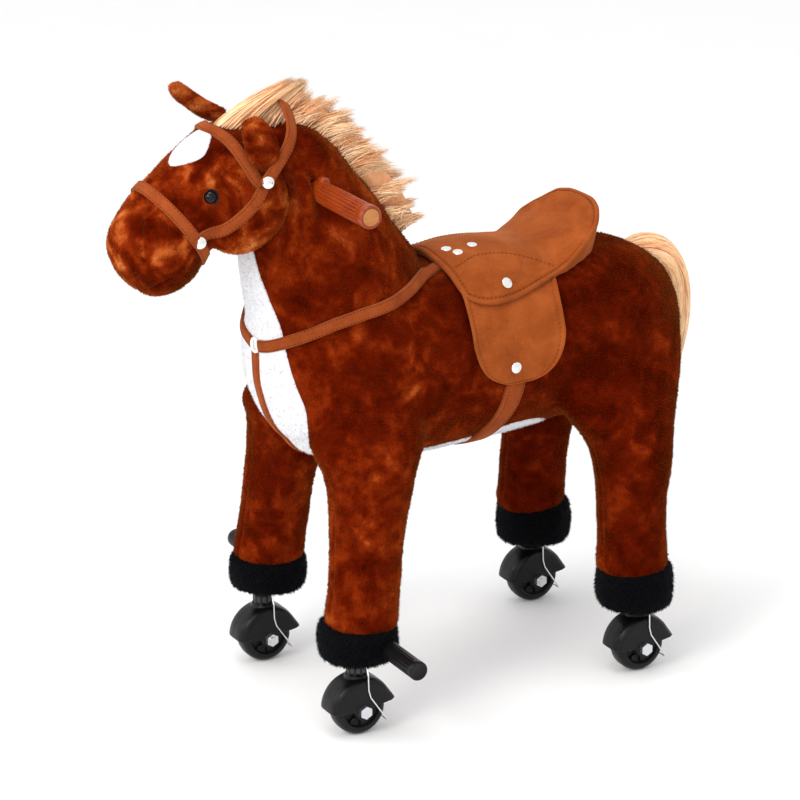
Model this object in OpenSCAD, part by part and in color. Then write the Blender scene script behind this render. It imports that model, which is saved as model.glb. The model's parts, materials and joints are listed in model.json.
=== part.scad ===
// Plush ride-on pony on four hooded wheels. Two steel frames, hinged under the withers and
// drawn together by a spring, spread and close as the rider bounces.
// Head towards -Y, the pony's left towards +X, floor at z = 0. Millimetres.

/* [Stance] */
// Distance between the front and rear axles
wheelbase = 356; // [352:1:360]
// Half of the distance between the two front wheels
front_half_track = 112; // [110:1:114]
// Half of the distance between the two rear wheels
rear_half_track = 115; // [113:1:117]

/* [Wheels] */
// Radius of a wheel over its tread
wheel_r = 30; // [29:0.5:30.5]
// Width of a wheel across its tread
wheel_w = 26; // [22:1:27]
// Outer radius of the hood over a wheel
hood_r = 37; // [36:0.5:38]
// Width of a hood across both cheeks
hood_w = 36; // [35.5:0.5:37]

/* [Frame] */
// Outer radius of the frame tube
tube_r = 11; // [10:0.5:11]
// Wall thickness of the frame tube
tube_wall = 1.5; // [1.2:0.1:2]
// Height of the pivot between the two frames
pivot_z = 420; // [416:1:422]
// Height of the cross tubes
cross_z = 312; // [310:1:314]

/* [Handle and pegs] */
// Height of the handle bar
handle_z = 594; // [590:1:598]
// Length of the handle bar from end to end
handle_len = 332; // [320:2:340]
// Radius of a handle grip
grip_r = 12.5; // [12:0.5:13]
// Height of the foot pegs
peg_z = 107; // [106:0.5:108]
// Radius of a foot peg
peg_r = 10.5; // [9.5:0.5:10.5]
// Distance from the middle to the end of a foot peg
peg_tip = 218; // [205:1:225]

/* [Plush body] */
// Half width of the barrel
barrel_a = 106; // [104:0.5:108]
// Half height of the barrel
barrel_b = 104; // [102:0.5:106]
// Height of the barrel's middle
barrel_z = 378; // [376:1:380]
// Radius of the muzzle
muzzle_r = 48; // [46:0.5:50]
// Radius of the skull
skull_r = 60; // [58:0.5:62]

/* [Tack] */
// Width of the bridle and breast straps
strap_w = 12.5; // [11:0.5:14]
// Width of the girth
girth_w = 22; // [20:1:24]
// Diameter of a press stud
stud_d = 11.5; // [10:0.5:12.5]

/* [Hidden] */

$fn = 48;
facets = 30;               // around the balls inside a hull
ear_facets = 22;
front_axle_y = -133;
rear_axle_y = front_axle_y + wheelbase;
pivot_y = 12;
tube_bore = tube_r - tube_wall;
fit_gap = 0.05;            // radial gap of a running or push fit
skin_gap = 0.3;            // gap between the two halves of the body
open_lean = 11;            // lean of the chest's rear face above the pivot, past the travel

// Frame
front_arm_x = 52;
rear_arm_x = 26;
arm_r = 10;                // outer radius of the tubes that reach up to the pivot
lug_r = 15;
bolt_r = 5;
bush_t = 3.4;
bolt_end = front_arm_x + tube_r + 0.5;
cavity_r = 20;
cavity_half = 76;
front_tube_top = cross_z + 10;
tube_foot_z = 72;          // lower end of a leg tube, inside the stem of its hood
post_r = 12;
post_top = [0, -145, handle_z + 13];
post_foot = [0, front_axle_y, cross_z];
handle_y = -144.5;
bar_r = 8;
bar_bore = 6.5;
grip_end = handle_len / 2 + 1.5;
disc_r = 9.5;              // disc that closes a grip's end
disc_t = 3;
peg_y = -115;
peg_root = 126;
peg_bare = 156;            // where a foot peg is clear of its hoof
peg_rod_r = 6;
spring_r = 11;             // middle of the spring's wire
spring_wire = 1.8;
hook_r = tube_r + 2.2;
spring_y0 = -20;
spring_y1 = 140;
spring_turns = 18;
channel_r = 16;

// Hoods and wheels, about the axle
hood_wall = 3.3;
hood_inner = 33;
stem_r = 12.5;
stem_top = 66;
axle_r = 4;
wire_r = 0.9;

// Plush
leg_foot_z = 124.3;
front_leg_foot = [112, -128, 118];
front_leg_hip = [99, -112, 288];
rear_leg_foot = [114, 216, 112];
rear_leg_hip = [100, 206, 285];
hip_r = 50;
leg_r = 37;
skull = [0, -222, 603];
muzzle = [0, -309, 541];
// Slices of the body: [y, middle height, half width, half height]
BARREL = [[11, barrel_z, barrel_a, barrel_b], [168, barrel_z, barrel_a, barrel_b],
    [215, barrel_z + 3, barrel_a, barrel_b - 7], [255, barrel_z + 6, barrel_a - 5, 91],
    [292, 384, 84, 77], [314, 380, 60, 58], [325, 376, 28, 28]];
CHEST = [[13, barrel_z, barrel_a, barrel_b], [-60, 380, 108, 103], [-120, 386, 102, 96],
    [-165, 394, 84, 84], [-188, 402, 62, 68], [-202, 414, 34, 44]];
// Slices of the neck: [height, front, back, half width]
NECK = [[452, -204, -4, 88], [496, -203, -6, 78], [532, -201, -32, 68], [569, -198, -56, 61],
    [600, -195, -81, 55], [629, -190, -105, 48], [650, -186, -126, 38], [661, -176, -150, 14]];

function superellipse(a, b, n, steps) = [for (i = [0 : steps - 1]) let (t = 360 * i / steps)
    [a * sign(cos(t)) * pow(abs(cos(t)), 2 / n), b * sign(sin(t)) * pow(abs(sin(t)), 2 / n)]];
round_n = 2.2;             // squareness of the body's slices, 2 being an ellipse
function skin_at(t, grow) = [(barrel_a + grow) * sign(cos(t)) * pow(abs(cos(t)), 2 / round_n),
    barrel_z + (barrel_b + grow) * sign(sin(t)) * pow(abs(sin(t)), 2 / round_n)];

// ---- helpers ----

// Puts its children at p, with their Z axis pointing at q
module aim(p, q) {
    d = q - p;
    translate(p) rotate([0, acos(d[2] / norm(d)), atan2(d[1], d[0])]) children();
}

module rod(p, q, r) aim(p, q) cylinder(r = r, h = norm(q - p));

// A cylinder along X between two places
module along_x(x0, x1, y, z, r) translate([x0, y, z]) rotate([0, 90, 0]) cylinder(r = r, h = x1 - x0);

module both_sides() {
    children();
    mirror([1, 0, 0]) children();
}

module on_side(side) mirror([side < 0 ? 1 : 0, 0, 0]) children();

// An outline in Y and Z, carried along X to both sides
module side_prism(half) rotate([90, 0, 90]) linear_extrude(2 * half, center = true) children();

module hood_place(half_track, axle_y) translate([half_track, axle_y, wheel_r]) children();

// A band in Y and Z through the points, strap_w wide
module band(points, w) for (i = [0 : len(points) - 2]) hull() {
    translate(points[i]) circle(d = w, $fn = 20);
    translate(points[i + 1]) circle(d = w, $fn = 20);
}

// A solid through rings of points, each ring turning anticlockwise about the way ahead
module tube_through(rings) {
    sides = len(rings[0]);
    last = len(rings) - 1;
    walls = [for (i = [0 : last - 1], k = [0 : sides - 1]) let (n = (k + 1) % sides)
        [i * sides + k, (i + 1) * sides + k, (i + 1) * sides + n, i * sides + n]];
    start = [for (k = [0 : sides - 1]) k];
    end = [for (k = [sides - 1 : -1 : 0]) last * sides + k];
    polyhedron([for (ring = rings) each ring], concat([start], walls, [end]));
}

function unit(v) = v / norm(v);

// The ring of a wire at point i of its path, turned so that its first corner faces a side
function wire_ring(path, i, r, facing, sides) = let (
    ahead = unit(path[min(i + 1, len(path) - 1)] - path[max(i - 1, 0)]),
    u = unit(facing - (facing * ahead) * ahead), v = cross(ahead, u))
    [for (k = [0 : sides - 1]) path[i] + r * (cos(360 * k / sides) * u + sin(360 * k / sides) * v)];

// ---- plush shapes, grown outwards by g ----

module body_slice(s, g) translate([0, s[0], s[1]]) rotate([90, 0, 0]) linear_extrude(0.2)
    polygon(superellipse(s[2] + g, s[3] + g, round_n, 40));

module shoulder(ball, ball_r, hip, foot, g) hull() {
    translate(ball) sphere(ball_r + g, $fn = facets);
    aim(hip, 2 * hip - foot) cylinder(r = hip_r + g, h = 0.5, $fn = 40);
}

module chest_solid(g) {
    hull() {
        for (s = CHEST) body_slice(s, g);
        translate([0, -g - 1, 0]) body_slice(CHEST[5], g - 8);
    }
    both_sides() shoulder([58, -102, 366], 57, front_leg_hip, front_leg_foot, g);
}

module barrel_solid(g) {
    hull() for (s = BARREL) body_slice(s, g);
    both_sides() shoulder([50, 212, 366], 70, rear_leg_hip, rear_leg_foot, g);
}

module neck_solid(g) hull() for (s = NECK) translate([0, (s[1] + s[2]) / 2, s[0]])
    linear_extrude(0.2) polygon(superellipse(s[3] + g, (s[2] - s[1]) / 2 + g, 2, 36));

module head_solid(g) hull() {
    translate(skull) sphere(skull_r + g, $fn = facets);
    translate(muzzle) sphere(muzzle_r + g, $fn = facets);
}

// Everything behind the chest's rear face
module behind_chest() side_prism(300) polygon([[pivot_y - skin_gap, 0], [pivot_y - skin_gap, pivot_z],
    [pivot_y - skin_gap - 400 * tan(open_lean), pivot_z + 400], [600, pivot_z + 400], [600, 0]]);

module frame_cavities() {
    along_x(-cavity_half, cavity_half, pivot_y, pivot_z, cavity_r);
    rod([0, front_axle_y, cross_z], [0, rear_axle_y, cross_z], channel_r);
    for (y = [front_axle_y, rear_axle_y]) along_x(-8, 8, y, cross_z, 18);
}

// ---- front frame ----

module leg_tube(half_track, y) difference() {
    rod([half_track, y, tube_foot_z], [half_track, y, front_tube_top], tube_r);
    rod([half_track, y, 0], [half_track, y, front_tube_top - 2], tube_bore);
}

module front_leg_tubes() color("dimgray") both_sides() leg_tube(front_half_track, front_axle_y);

module cross_tube(half_track, y) color("dimgray") difference() {
    along_x(-half_track, half_track, y, cross_z, tube_r);
    along_x(-half_track, half_track, y, cross_z, tube_bore);
    both_sides() rod([half_track, y, 0], [half_track, y, 500], tube_r);
}

module front_cross_tube() cross_tube(front_half_track, front_axle_y);

module pivot_arm(x, y) {
    foot = [x, y, cross_z];
    top = [x, pivot_y, pivot_z];
    reach = norm(top - foot);
    difference() {
        union() {
            rod(foot, top, arm_r);
            along_x(x - tube_r, x + tube_r, pivot_y, pivot_z, lug_r);
        }
        aim(foot, top) cylinder(r = arm_r - tube_wall, h = reach - lug_r - 4);
        along_x(-200, 200, y, cross_z, tube_r);
        along_x(-200, 200, pivot_y, pivot_z, bolt_r + fit_gap);
    }
}

module front_pivot_arms() color("dimgray") both_sides() pivot_arm(front_arm_x, front_axle_y);

module neck_post() color("dimgray") difference() {
    rod(post_foot, post_top, post_r);
    aim(post_foot, post_top) cylinder(r = post_r - tube_wall, h = norm(post_top - post_foot) - 2);
    along_x(-200, 200, front_axle_y, cross_z, tube_r);
    along_x(-200, 200, handle_y, handle_z, bar_r + fit_gap);
}

module handle_bar() color("silver") difference() {
    along_x(-handle_len / 2, handle_len / 2, handle_y, handle_z, bar_r);
    along_x(-200, 200, handle_y, handle_z, bar_bore);
}

module grip(side) color("orangered") on_side(side) difference() {
    union() {
        along_x(50, 61, handle_y, handle_z, grip_r - 1.5);
        along_x(60, grip_end + disc_t, handle_y, handle_z, grip_r);
    }
    along_x(40, grip_end, handle_y, handle_z, bar_r + fit_gap);
    along_x(grip_end - 1, 200, handle_y, handle_z, disc_r + fit_gap);
}

module grip_left() grip(1);
module grip_right() grip(-1);

module grip_end_caps() color("burlywood") both_sides() {
    along_x(grip_end - 0.9, grip_end + disc_t - 0.4, handle_y, handle_z, disc_r);
    along_x(grip_end - 12, grip_end, handle_y, handle_z, bar_bore - 0.1);
}

module peg_rods() color("silver") both_sides() along_x(104, peg_tip - 8, peg_y, peg_z, peg_rod_r);

module foot_peg(side) color("black") on_side(side) difference() {
    union() {
        along_x(peg_root, peg_bare + 1, peg_y, peg_z, peg_r - 1.5);
        along_x(peg_bare, peg_tip, peg_y, peg_z, peg_r);
    }
    along_x(peg_root - 1, peg_tip - 7.9, peg_y, peg_z, peg_rod_r + fit_gap);
}

module foot_peg_left() foot_peg(1);
module foot_peg_right() foot_peg(-1);

// ---- front plush ----

module chest() color("saddlebrown") difference() {
    chest_solid(0);
    behind_chest();
    frame_cavities();
}

module neck() color("saddlebrown") difference() {
    neck_solid(0);
    chest_solid(0.1);
    head_solid(0.1);
    behind_chest();
    along_x(-100, 100, handle_y, handle_z, grip_r + 0.5);
}

module head() color("saddlebrown") head_solid(0);

// The left ear hangs folded, the right one stands
module ears() color("sienna") difference() {
    union() {
        hull() {
            translate([44, -190, 664]) sphere(8, $fn = ear_facets);
            translate([58, -203, 652]) sphere(12, $fn = ear_facets);
            translate([64, -209, 634]) sphere(11, $fn = ear_facets);
        }
        hull() {
            translate([-40, -204, 656]) sphere(9, $fn = ear_facets);
            translate([-45, -232, 680]) sphere(14, $fn = ear_facets);
            translate([-48, -253, 692]) sphere(11, $fn = ear_facets);
        }
    }
    head_solid(5);
    neck_solid(5);
}

module eyes() color("black") both_sides() translate([46, -263, 603]) sphere(6.5);

crown_band = [[-210, 615], [-197, 640], [-178, 660], [-154, 676]];
brow_band = [[-210, 615], [-226, 640], [-243, 664]];
cheek_band = [[-284, 555], [-248, 572], [-224, 592], [-210, 615]];

module mane() color("navajowhite") difference() {
    side_prism(12) {
        polygon([[-226, 655], [-226, 669], [-212, 682], [-195, 688], [-172, 692], [-133, 701],
            [-150, 680], [-166, 664], [-200, 650]]);
        polygon([[-146, 650], [-136, 668], [-116, 678], [-91, 663], [-67, 646], [-37, 616],
            [-29, 598], [-6, 578], [8, 556], [4, 534], [-20, 520], [-60, 560], [-110, 620]]);
    }
    head_solid(0.2);
    neck_solid(0.2);
    side_prism(20) band(crown_band, strap_w + 1);
}

module plush_leg(foot, hip, half_track, axle_y) difference() {
    hull() {
        aim(foot, hip) cylinder(r = leg_r, h = norm(hip - foot) / 2, $fn = 36);
        aim(hip, 2 * hip - foot) cylinder(r = hip_r, h = 0.5, $fn = 36);
    }
    translate([0, 0, leg_foot_z - 50]) cube([600, 600, 100], center = true);
    rod([half_track, axle_y, 0], [half_track, axle_y, 400], tube_r + fit_gap);
}

module front_leg(side) color("saddlebrown") on_side(side)
    plush_leg(front_leg_foot, front_leg_hip, front_half_track, front_axle_y);

module front_leg_left() front_leg(1);
module front_leg_right() front_leg(-1);

module hoof(half_track, y, axle_y, bottom, top) difference() {
    h = top - bottom;
    translate([half_track, y, bottom]) rotate_extrude() polygon([[0, 0], [33, 0], [38.5, 3],
        [42, 0.25 * h], [42.5, 0.55 * h], [41, 0.8 * h], [38, h], [0, h]]);
    rod([half_track, axle_y, 0], [half_track, axle_y, 200], tube_r + fit_gap);
    rod([half_track, axle_y, 0], [half_track, axle_y, wheel_r + stem_top], stem_r + fit_gap);
}

module front_hooves() color("black") both_sides() difference() {
    hoof(front_half_track, -131, front_axle_y, 85, 124);
    along_x(peg_root - 0.5, 250, peg_y, peg_z, peg_r + fit_gap);
    along_x(103.5, peg_root, peg_y, peg_z, peg_rod_r + fit_gap);
}

// ---- skins and straps on the front of the body ----

module front_shell(inner, outer) difference() {
    union() {
        chest_solid(outer);
        neck_solid(outer);
    }
    chest_solid(inner);
    neck_solid(inner);
    head_solid(0.5);
    behind_chest();
}

module chest_panel() color("white") intersection() {
    difference() {
        front_shell(0.2, 1.6);
        along_x(-200, 200, front_axle_y, cross_z, tube_r + skin_gap);
    }
    translate([0, -105, 0]) rotate([90, 0, 0]) linear_extrude(150) polygon([[-13, 530], [13, 530],
        [30, 470], [48, 420], [62, 385], [72, 350], [66, 318], [40, 300], [30, 280], [-30, 280],
        [-40, 300], [-66, 318], [-72, 350], [-62, 385], [-48, 420], [-30, 470]]);
}

module head_shell(inner, outer) difference() {
    head_solid(outer);
    head_solid(inner);
}

module blaze_patch() color("white") intersection() {
    head_shell(0.2, 1.6);
    rod([0, -255, 600], [0, -291, 662], 19);
}

module noseband() color("sienna") intersection() {
    head_shell(1.9, 4.4);
    aim(skull, muzzle) translate([0, 0, 76 - strap_w / 2]) cylinder(r = 90, h = strap_w);
}

module headstall() color("sienna") intersection() {
    difference() {
        union() {
            head_solid(4.4);
            neck_solid(4.4);
        }
        head_solid(1.9);
        neck_solid(1.9);
        aim(skull, muzzle) translate([0, 0, 75.6 - strap_w / 2]) cylinder(r = 90, h = 90);
    }
    side_prism(90) {
        band(cheek_band, strap_w);
        band(crown_band, strap_w);
        band(brow_band, strap_w);
    }
}

module bridle_rivets() color("silver") both_sides() {
    along_x(60.5, 66, -210, 615, stud_d / 2);
    along_x(52, 57, -281, 558, stud_d / 2);
}

module breast_strap() color("sienna") intersection() {
    front_shell(1.9, 4.4);
    union() {
        side_prism(150) band([[-212, 414], [-190, 424], [-138, 452], [-84, 464], [-33, 476],
            [20, 490]], strap_w);
        translate([-4, -250, 200]) cube([8, 240, 212]);
    }
}

module breast_ring() color("white") translate([0, -211.5, 416]) rotate([90, 0, 0])
    rotate_extrude() translate([8, 0]) circle(1.6, $fn = 24);

// ---- wheels and hoods ----

// Above the line from the low front lip to the high rear lip
module hood_zone() side_prism(40) polygon([[-60, 3], [-28, 0], [24, 8], [60, 10], [60, 60], [-60, 60]]);

module hood(half_track, axle_y) color("black") hood_place(half_track, axle_y) difference() {
    union() {
        intersection() {
            along_x(-hood_w / 2, hood_w / 2, 0, 0, hood_r);
            hood_zone();
        }
        intersection() {
            cylinder(r = stem_r, h = stem_top);
            translate([0, 0, 65]) cube([40, 40, 65], center = true);
        }
        for (side = [1, -1]) on_side(side) {
            along_x(hood_w / 2 - hood_wall, hood_w / 2, 0, 0, 10);
            translate([hood_w / 2 - hood_wall, -10, 0]) cube([hood_wall, 20, 20]);
        }
    }
    along_x(hood_wall - hood_w / 2, hood_w / 2 - hood_wall, 0, 0, hood_inner);
    along_x(-30, 30, 0, 0, axle_r + fit_gap);
    translate([0, 0, tube_foot_z - wheel_r]) cylinder(r = tube_r + fit_gap, h = 60);
}

module front_hood_left() hood(front_half_track, front_axle_y);
module front_hood_right() mirror([1, 0, 0]) hood(front_half_track, front_axle_y);
module rear_hood_left() hood(rear_half_track, rear_axle_y);
module rear_hood_right() mirror([1, 0, 0]) hood(rear_half_track, rear_axle_y);

module wheel(half_track, axle_y) color("black") hood_place(half_track, axle_y) rotate([0, 90, 0])
    rotate_extrude($fn = 96) {
        bore = axle_r + fit_gap + 0.01;
        half = wheel_w / 2;
        polygon([[bore, -half - 0.6], [9, -half - 0.6], [10, -7], [19, -6], [21, 1 - half],
            [25, -half], [28, 2 - half], [wheel_r - 0.6, 5 - half], [wheel_r, -4], [wheel_r, 4],
            [wheel_r - 0.6, half - 5], [28, half - 2], [25, half], [21, half - 1], [19, 6],
            [10, 7], [9, half + 0.6], [bore, half + 0.6]]);
    }

module front_wheel_left() wheel(front_half_track, front_axle_y);
module front_wheel_right() mirror([1, 0, 0]) wheel(front_half_track, front_axle_y);
module rear_wheel_left() wheel(rear_half_track, rear_axle_y);
module rear_wheel_right() mirror([1, 0, 0]) wheel(rear_half_track, rear_axle_y);

module axle_bolts(half_track, axle_y) color("silver") both_sides() hood_place(half_track, axle_y) {
    along_x(-hood_w / 2 - 8.5, hood_w / 2, 0, 0, axle_r);
    translate([hood_w / 2, 0, 0]) rotate([0, 90, 0]) cylinder(r = 7.5, h = 5.3, $fn = 6);
}

module axle_nuts(half_track, axle_y) color("silver") both_sides() hood_place(half_track, axle_y)
    difference() {
        translate([-hood_w / 2 - 6.5, 0, 0]) rotate([0, 90, 0]) cylinder(r = 7.5, h = 6.5, $fn = 6);
        along_x(-40, 0, 0, 0, axle_r + fit_gap);
    }

module front_axle_bolts() axle_bolts(front_half_track, front_axle_y);
module front_axle_nuts() axle_nuts(front_half_track, front_axle_y);
module rear_axle_bolts() axle_bolts(rear_half_track, rear_axle_y);
module rear_axle_nuts() axle_nuts(rear_half_track, rear_axle_y);

// A wire bail round both cheeks, whose cross piece lies behind the tread and stops it
// from rolling backwards
module pawl_wires(half_track, axle_y, top) color("silver") both_sides()
    hood_place(half_track, axle_y) {
        out = hood_w / 2 + 1.3;
        half = [[14.2, 4, top], [out, 4, 42], [out, 4.5, 24], [out, 7, 15], [out, 26, -13.4],
            [out - 2, 27.6, -15.6]];
        path = concat(half, [for (i = [5 : -1 : 0]) [-half[i][0], half[i][1], half[i][2]]]);
        tube_through([for (i = [0 : len(path) - 1]) wire_ring(path, i, wire_r, [0, 0.83, 0.56], 8)]);
    }

module front_pawl_wires() pawl_wires(front_half_track, front_axle_y, 54.5);
module rear_pawl_wires() pawl_wires(rear_half_track, rear_axle_y, 43.5);

// ---- rear frame ----

module rear_leg_tubes() color("dimgray") both_sides() leg_tube(rear_half_track, rear_axle_y);

module rear_cross_tube() cross_tube(rear_half_track, rear_axle_y);

// Height of a rear arm's middle at a place along Y
function arm_z(y) = cross_z + (pivot_z - cross_z) * (rear_axle_y - y) / (rear_axle_y - pivot_y);

module rear_pivot_arms() color("dimgray") both_sides() {
    pivot_arm(rear_arm_x, rear_axle_y);
    for (y = [60, 120]) difference() {
        rod([rear_arm_x, y, arm_z(y)], [rear_arm_x, y, 456], 7);
        rod([rear_arm_x, rear_axle_y, cross_z], [rear_arm_x, pivot_y, pivot_z], arm_r - 0.5);
    }
}

module seat_board() color("burlywood") translate([-45, 40, 456]) cube([90, 108, 12]);

module pivot_bolt() color("silver") {
    along_x(-bolt_end - 9, bolt_end, pivot_y, pivot_z, bolt_r);
    translate([bolt_end, pivot_y, pivot_z]) rotate([0, 90, 0]) cylinder(r = 9, h = 6.5, $fn = 6);
}

module pivot_nut() color("silver") difference() {
    translate([-bolt_end - 8, pivot_y, pivot_z]) rotate([0, 90, 0]) cylinder(r = 9, h = 8, $fn = 6);
    along_x(-100, 0, pivot_y, pivot_z, bolt_r + fit_gap);
}

module pivot_bushes() color("ivory") both_sides() difference() {
    start = rear_arm_x + tube_r;
    along_x(start, start + bush_t, pivot_y, pivot_z, 10);
    along_x(start - 1, start + bush_t + 1, pivot_y, pivot_z, bolt_r + fit_gap);
}

// One ring of the spring's wire, at a turn counted from the first
function spring_ring(turn, sides) = let (a = 360 * turn,
    y = spring_y0 + (spring_y1 - spring_y0) * turn / spring_turns)
    [for (k = [0 : sides - 1]) let (b = 360 * k / sides, r = spring_r + spring_wire * cos(b))
        [r * cos(a), y + spring_wire * sin(b), cross_z + r * sin(a)]];

// A hook from the spring's middle line round under the cross tube
module spring_hook(y, to_rear) translate([0, y, cross_z]) rotate([0, 90, 0])
    rotate([0, 0, to_rear ? -75 : -90]) rotate_extrude(angle = 165) translate([hook_r, 0])
    circle(spring_wire, $fn = 20);

module return_spring() color("silver") {
    tube_through([for (i = [0 : 12 * spring_turns]) spring_ring(i / 12, 6)]);
    for (end = [[front_axle_y + hook_r, spring_y0], [rear_axle_y - hook_r, spring_y1]]) {
        rod([0, end[0], cross_z], [0, end[1], cross_z], spring_wire + 0.4);
        rod([0, end[1], cross_z], [spring_r, end[1], cross_z], spring_wire);
    }
    spring_hook(front_axle_y, true);
    spring_hook(rear_axle_y, false);
}

// ---- rear plush and saddle ----

module barrel() color("saddlebrown") difference() {
    barrel_solid(0);
    translate([-200, pivot_y + skin_gap - 400, 0]) cube([400, 400, 800]);
    frame_cavities();
}

module rear_leg(side) color("saddlebrown") on_side(side)
    plush_leg(rear_leg_foot, rear_leg_hip, rear_half_track, rear_axle_y);

module rear_leg_left() rear_leg(1);
module rear_leg_right() rear_leg(-1);

module rear_hooves() color("black") both_sides()
    hoof(rear_half_track, 219, rear_axle_y, 75, 124);

module tail() color("navajowhite") difference() {
    path = [[286, 458, 14], [318, 446, 22], [333, 405, 24], [334, 350, 23], [331, 290, 20],
        [326, 232, 9]];
    for (i = [0 : len(path) - 2]) hull() for (p = [path[i], path[i + 1]])
        translate([0, p[0], p[1]]) sphere(p[2], $fn = 24);
    barrel_solid(0.2);
}

// The saddle's layers follow the barrel between two distances from its skin
module saddle_ring(inner, outer) translate([0, 165, barrel_z]) rotate([90, 0, 0])
    linear_extrude(152) difference() {
        polygon(superellipse(barrel_a + outer, barrel_b + outer, round_n, 72));
        polygon(superellipse(barrel_a + inner, barrel_b + inner, round_n, 72));
    }

module belly_panel() color("white") intersection() {
    saddle_ring(0.2, 1.6);
    side_prism(90) polygon([[13, 250], [13, 300], [60, 306], [110, 308], [140, 302], [140, 250]]);
}

module girth() color("sienna") intersection() {
    saddle_ring(1.9, 4.2);
    side_prism(150) polygon([[44, 250], [44, 364.6], [44 + girth_w, 364.6], [44 + girth_w, 250]]);
}

module saddle_flaps() color("peru") intersection() {
    saddle_ring(1, 4.4);
    side_prism(150) hull() {
        translate([44, 395]) circle(30);
        translate([94, 399]) circle(30);
        translate([14, 470]) square([121, 40]);
    }
}

module saddle_seat() color("peru") intersection() {
    saddle_ring(4.7, 10);
    side_prism(150) hull() {
        translate([62, 479]) circle(29);
        translate([106, 487]) circle(24);
        translate([14, 480]) square([129, 40]);
    }
}

// The raised back of the seat: a rim arching over the rump, dished towards the rider
module saddle_cantle() color("peru") difference() {
    hull() {
        for (side = [1, -1]) {
            translate([side * 76, 134, 473]) sphere(5, $fn = 20);
            translate([side * 70, 168, 490]) sphere(5, $fn = 20);
            translate([side * 45, 200, 515]) sphere(5, $fn = 20);
            translate([side * 62, 160, 466]) sphere(5, $fn = 20);
        }
        translate([0, 212, 528]) sphere(5, $fn = 20);
        translate([0, 118, 484]) sphere(5, $fn = 20);
        translate([0, 200, 484]) sphere(5, $fn = 20);
    }
    translate([0, 100, 636]) sphere(140, $fn = 64);
    barrel_solid(0.3);
    difference() {
        saddle_ring(-20, 10.2);
        translate([-200, 144, 0]) cube([400, 400, 800]);
    }
}

module stud_at(y, t) {
    p = skin_at(t, 9.8);
    d = skin_at(t - 1, 9.8) - skin_at(t + 1, 9.8);
    translate([p[0], y, p[1]]) rotate([0, atan2(-d[1], d[0]), 0]) cylinder(d = stud_d, h = 2);
}

module saddle_studs() color("silver") {
    both_sides() stud_at(69, 46);
    both_sides() translate([barrel_a + 4.2, 59, 384]) rotate([0, 90, 0]) cylinder(d = stud_d, h = 2);
    for (s = [[32, 84], [40, 77], [60, 82]]) stud_at(s[0], s[1]);
}

front_leg_tubes();
front_cross_tube();
front_pivot_arms();
neck_post();
handle_bar();
grip_left();
grip_right();
grip_end_caps();
peg_rods();
foot_peg_left();
foot_peg_right();
chest();
neck();
head();
ears();
eyes();
mane();
front_leg_left();
front_leg_right();
front_hooves();
chest_panel();
blaze_patch();
noseband();
headstall();
bridle_rivets();
breast_strap();
breast_ring();
front_hood_left();
front_hood_right();
front_axle_bolts();
front_axle_nuts();
front_pawl_wires();
front_wheel_left();
front_wheel_right();
rear_wheel_left();
rear_wheel_right();
rear_leg_tubes();
rear_cross_tube();
rear_pivot_arms();
seat_board();
pivot_bolt();
pivot_nut();
pivot_bushes();
return_spring();
barrel();
rear_leg_left();
rear_leg_right();
rear_hooves();
tail();
belly_panel();
saddle_seat();
saddle_cantle();
saddle_flaps();
saddle_studs();
girth();
rear_hood_left();
rear_hood_right();
rear_axle_bolts();
rear_axle_nuts();
rear_pawl_wires();
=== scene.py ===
"""A plush ride-on pony: its looks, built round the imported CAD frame."""
import itertools
import json
import math

import bmesh
import bpy
import numpy as np
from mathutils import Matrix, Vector
from mathutils.bvhtree import BVHTree


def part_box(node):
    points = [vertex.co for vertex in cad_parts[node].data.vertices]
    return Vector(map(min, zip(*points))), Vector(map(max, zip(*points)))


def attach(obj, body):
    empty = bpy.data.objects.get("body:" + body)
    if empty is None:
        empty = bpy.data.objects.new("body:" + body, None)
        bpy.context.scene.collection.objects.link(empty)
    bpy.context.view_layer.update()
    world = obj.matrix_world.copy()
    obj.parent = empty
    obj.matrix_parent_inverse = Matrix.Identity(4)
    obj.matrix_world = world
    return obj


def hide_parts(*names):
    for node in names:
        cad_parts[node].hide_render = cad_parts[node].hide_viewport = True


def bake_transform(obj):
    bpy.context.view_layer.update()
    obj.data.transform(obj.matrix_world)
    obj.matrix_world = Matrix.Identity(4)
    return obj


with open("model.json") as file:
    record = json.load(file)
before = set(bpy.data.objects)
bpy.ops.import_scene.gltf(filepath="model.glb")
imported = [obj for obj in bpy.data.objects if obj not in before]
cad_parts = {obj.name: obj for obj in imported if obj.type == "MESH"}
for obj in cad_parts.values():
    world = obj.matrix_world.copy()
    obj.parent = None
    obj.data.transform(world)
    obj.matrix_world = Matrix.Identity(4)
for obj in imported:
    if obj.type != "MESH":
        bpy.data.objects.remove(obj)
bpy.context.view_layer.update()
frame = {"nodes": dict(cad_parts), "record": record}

MM = 0.001
TAU = 2 * math.pi
ACROSS, ALONG, UP = np.eye(3)
SIDES = ((1, "left"), (-1, "right"))
SEED = 20
random = np.random.default_rng(SEED)


# ---- camera, floor and light ----

CAMERA_AZIMUTH, CAMERA_ELEVATION = 61.105, 19.414
CAMERA_DISTANCE, CAMERA_LENS = 3.674, 151.18
CAMERA_TARGET = Vector((0, -0.0177, 0.3253))


def in_scene(name, data):
    """A new object of the scene for some data."""
    made = bpy.data.objects.new(name, data)
    bpy.context.scene.collection.objects.link(made)
    return made


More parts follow.
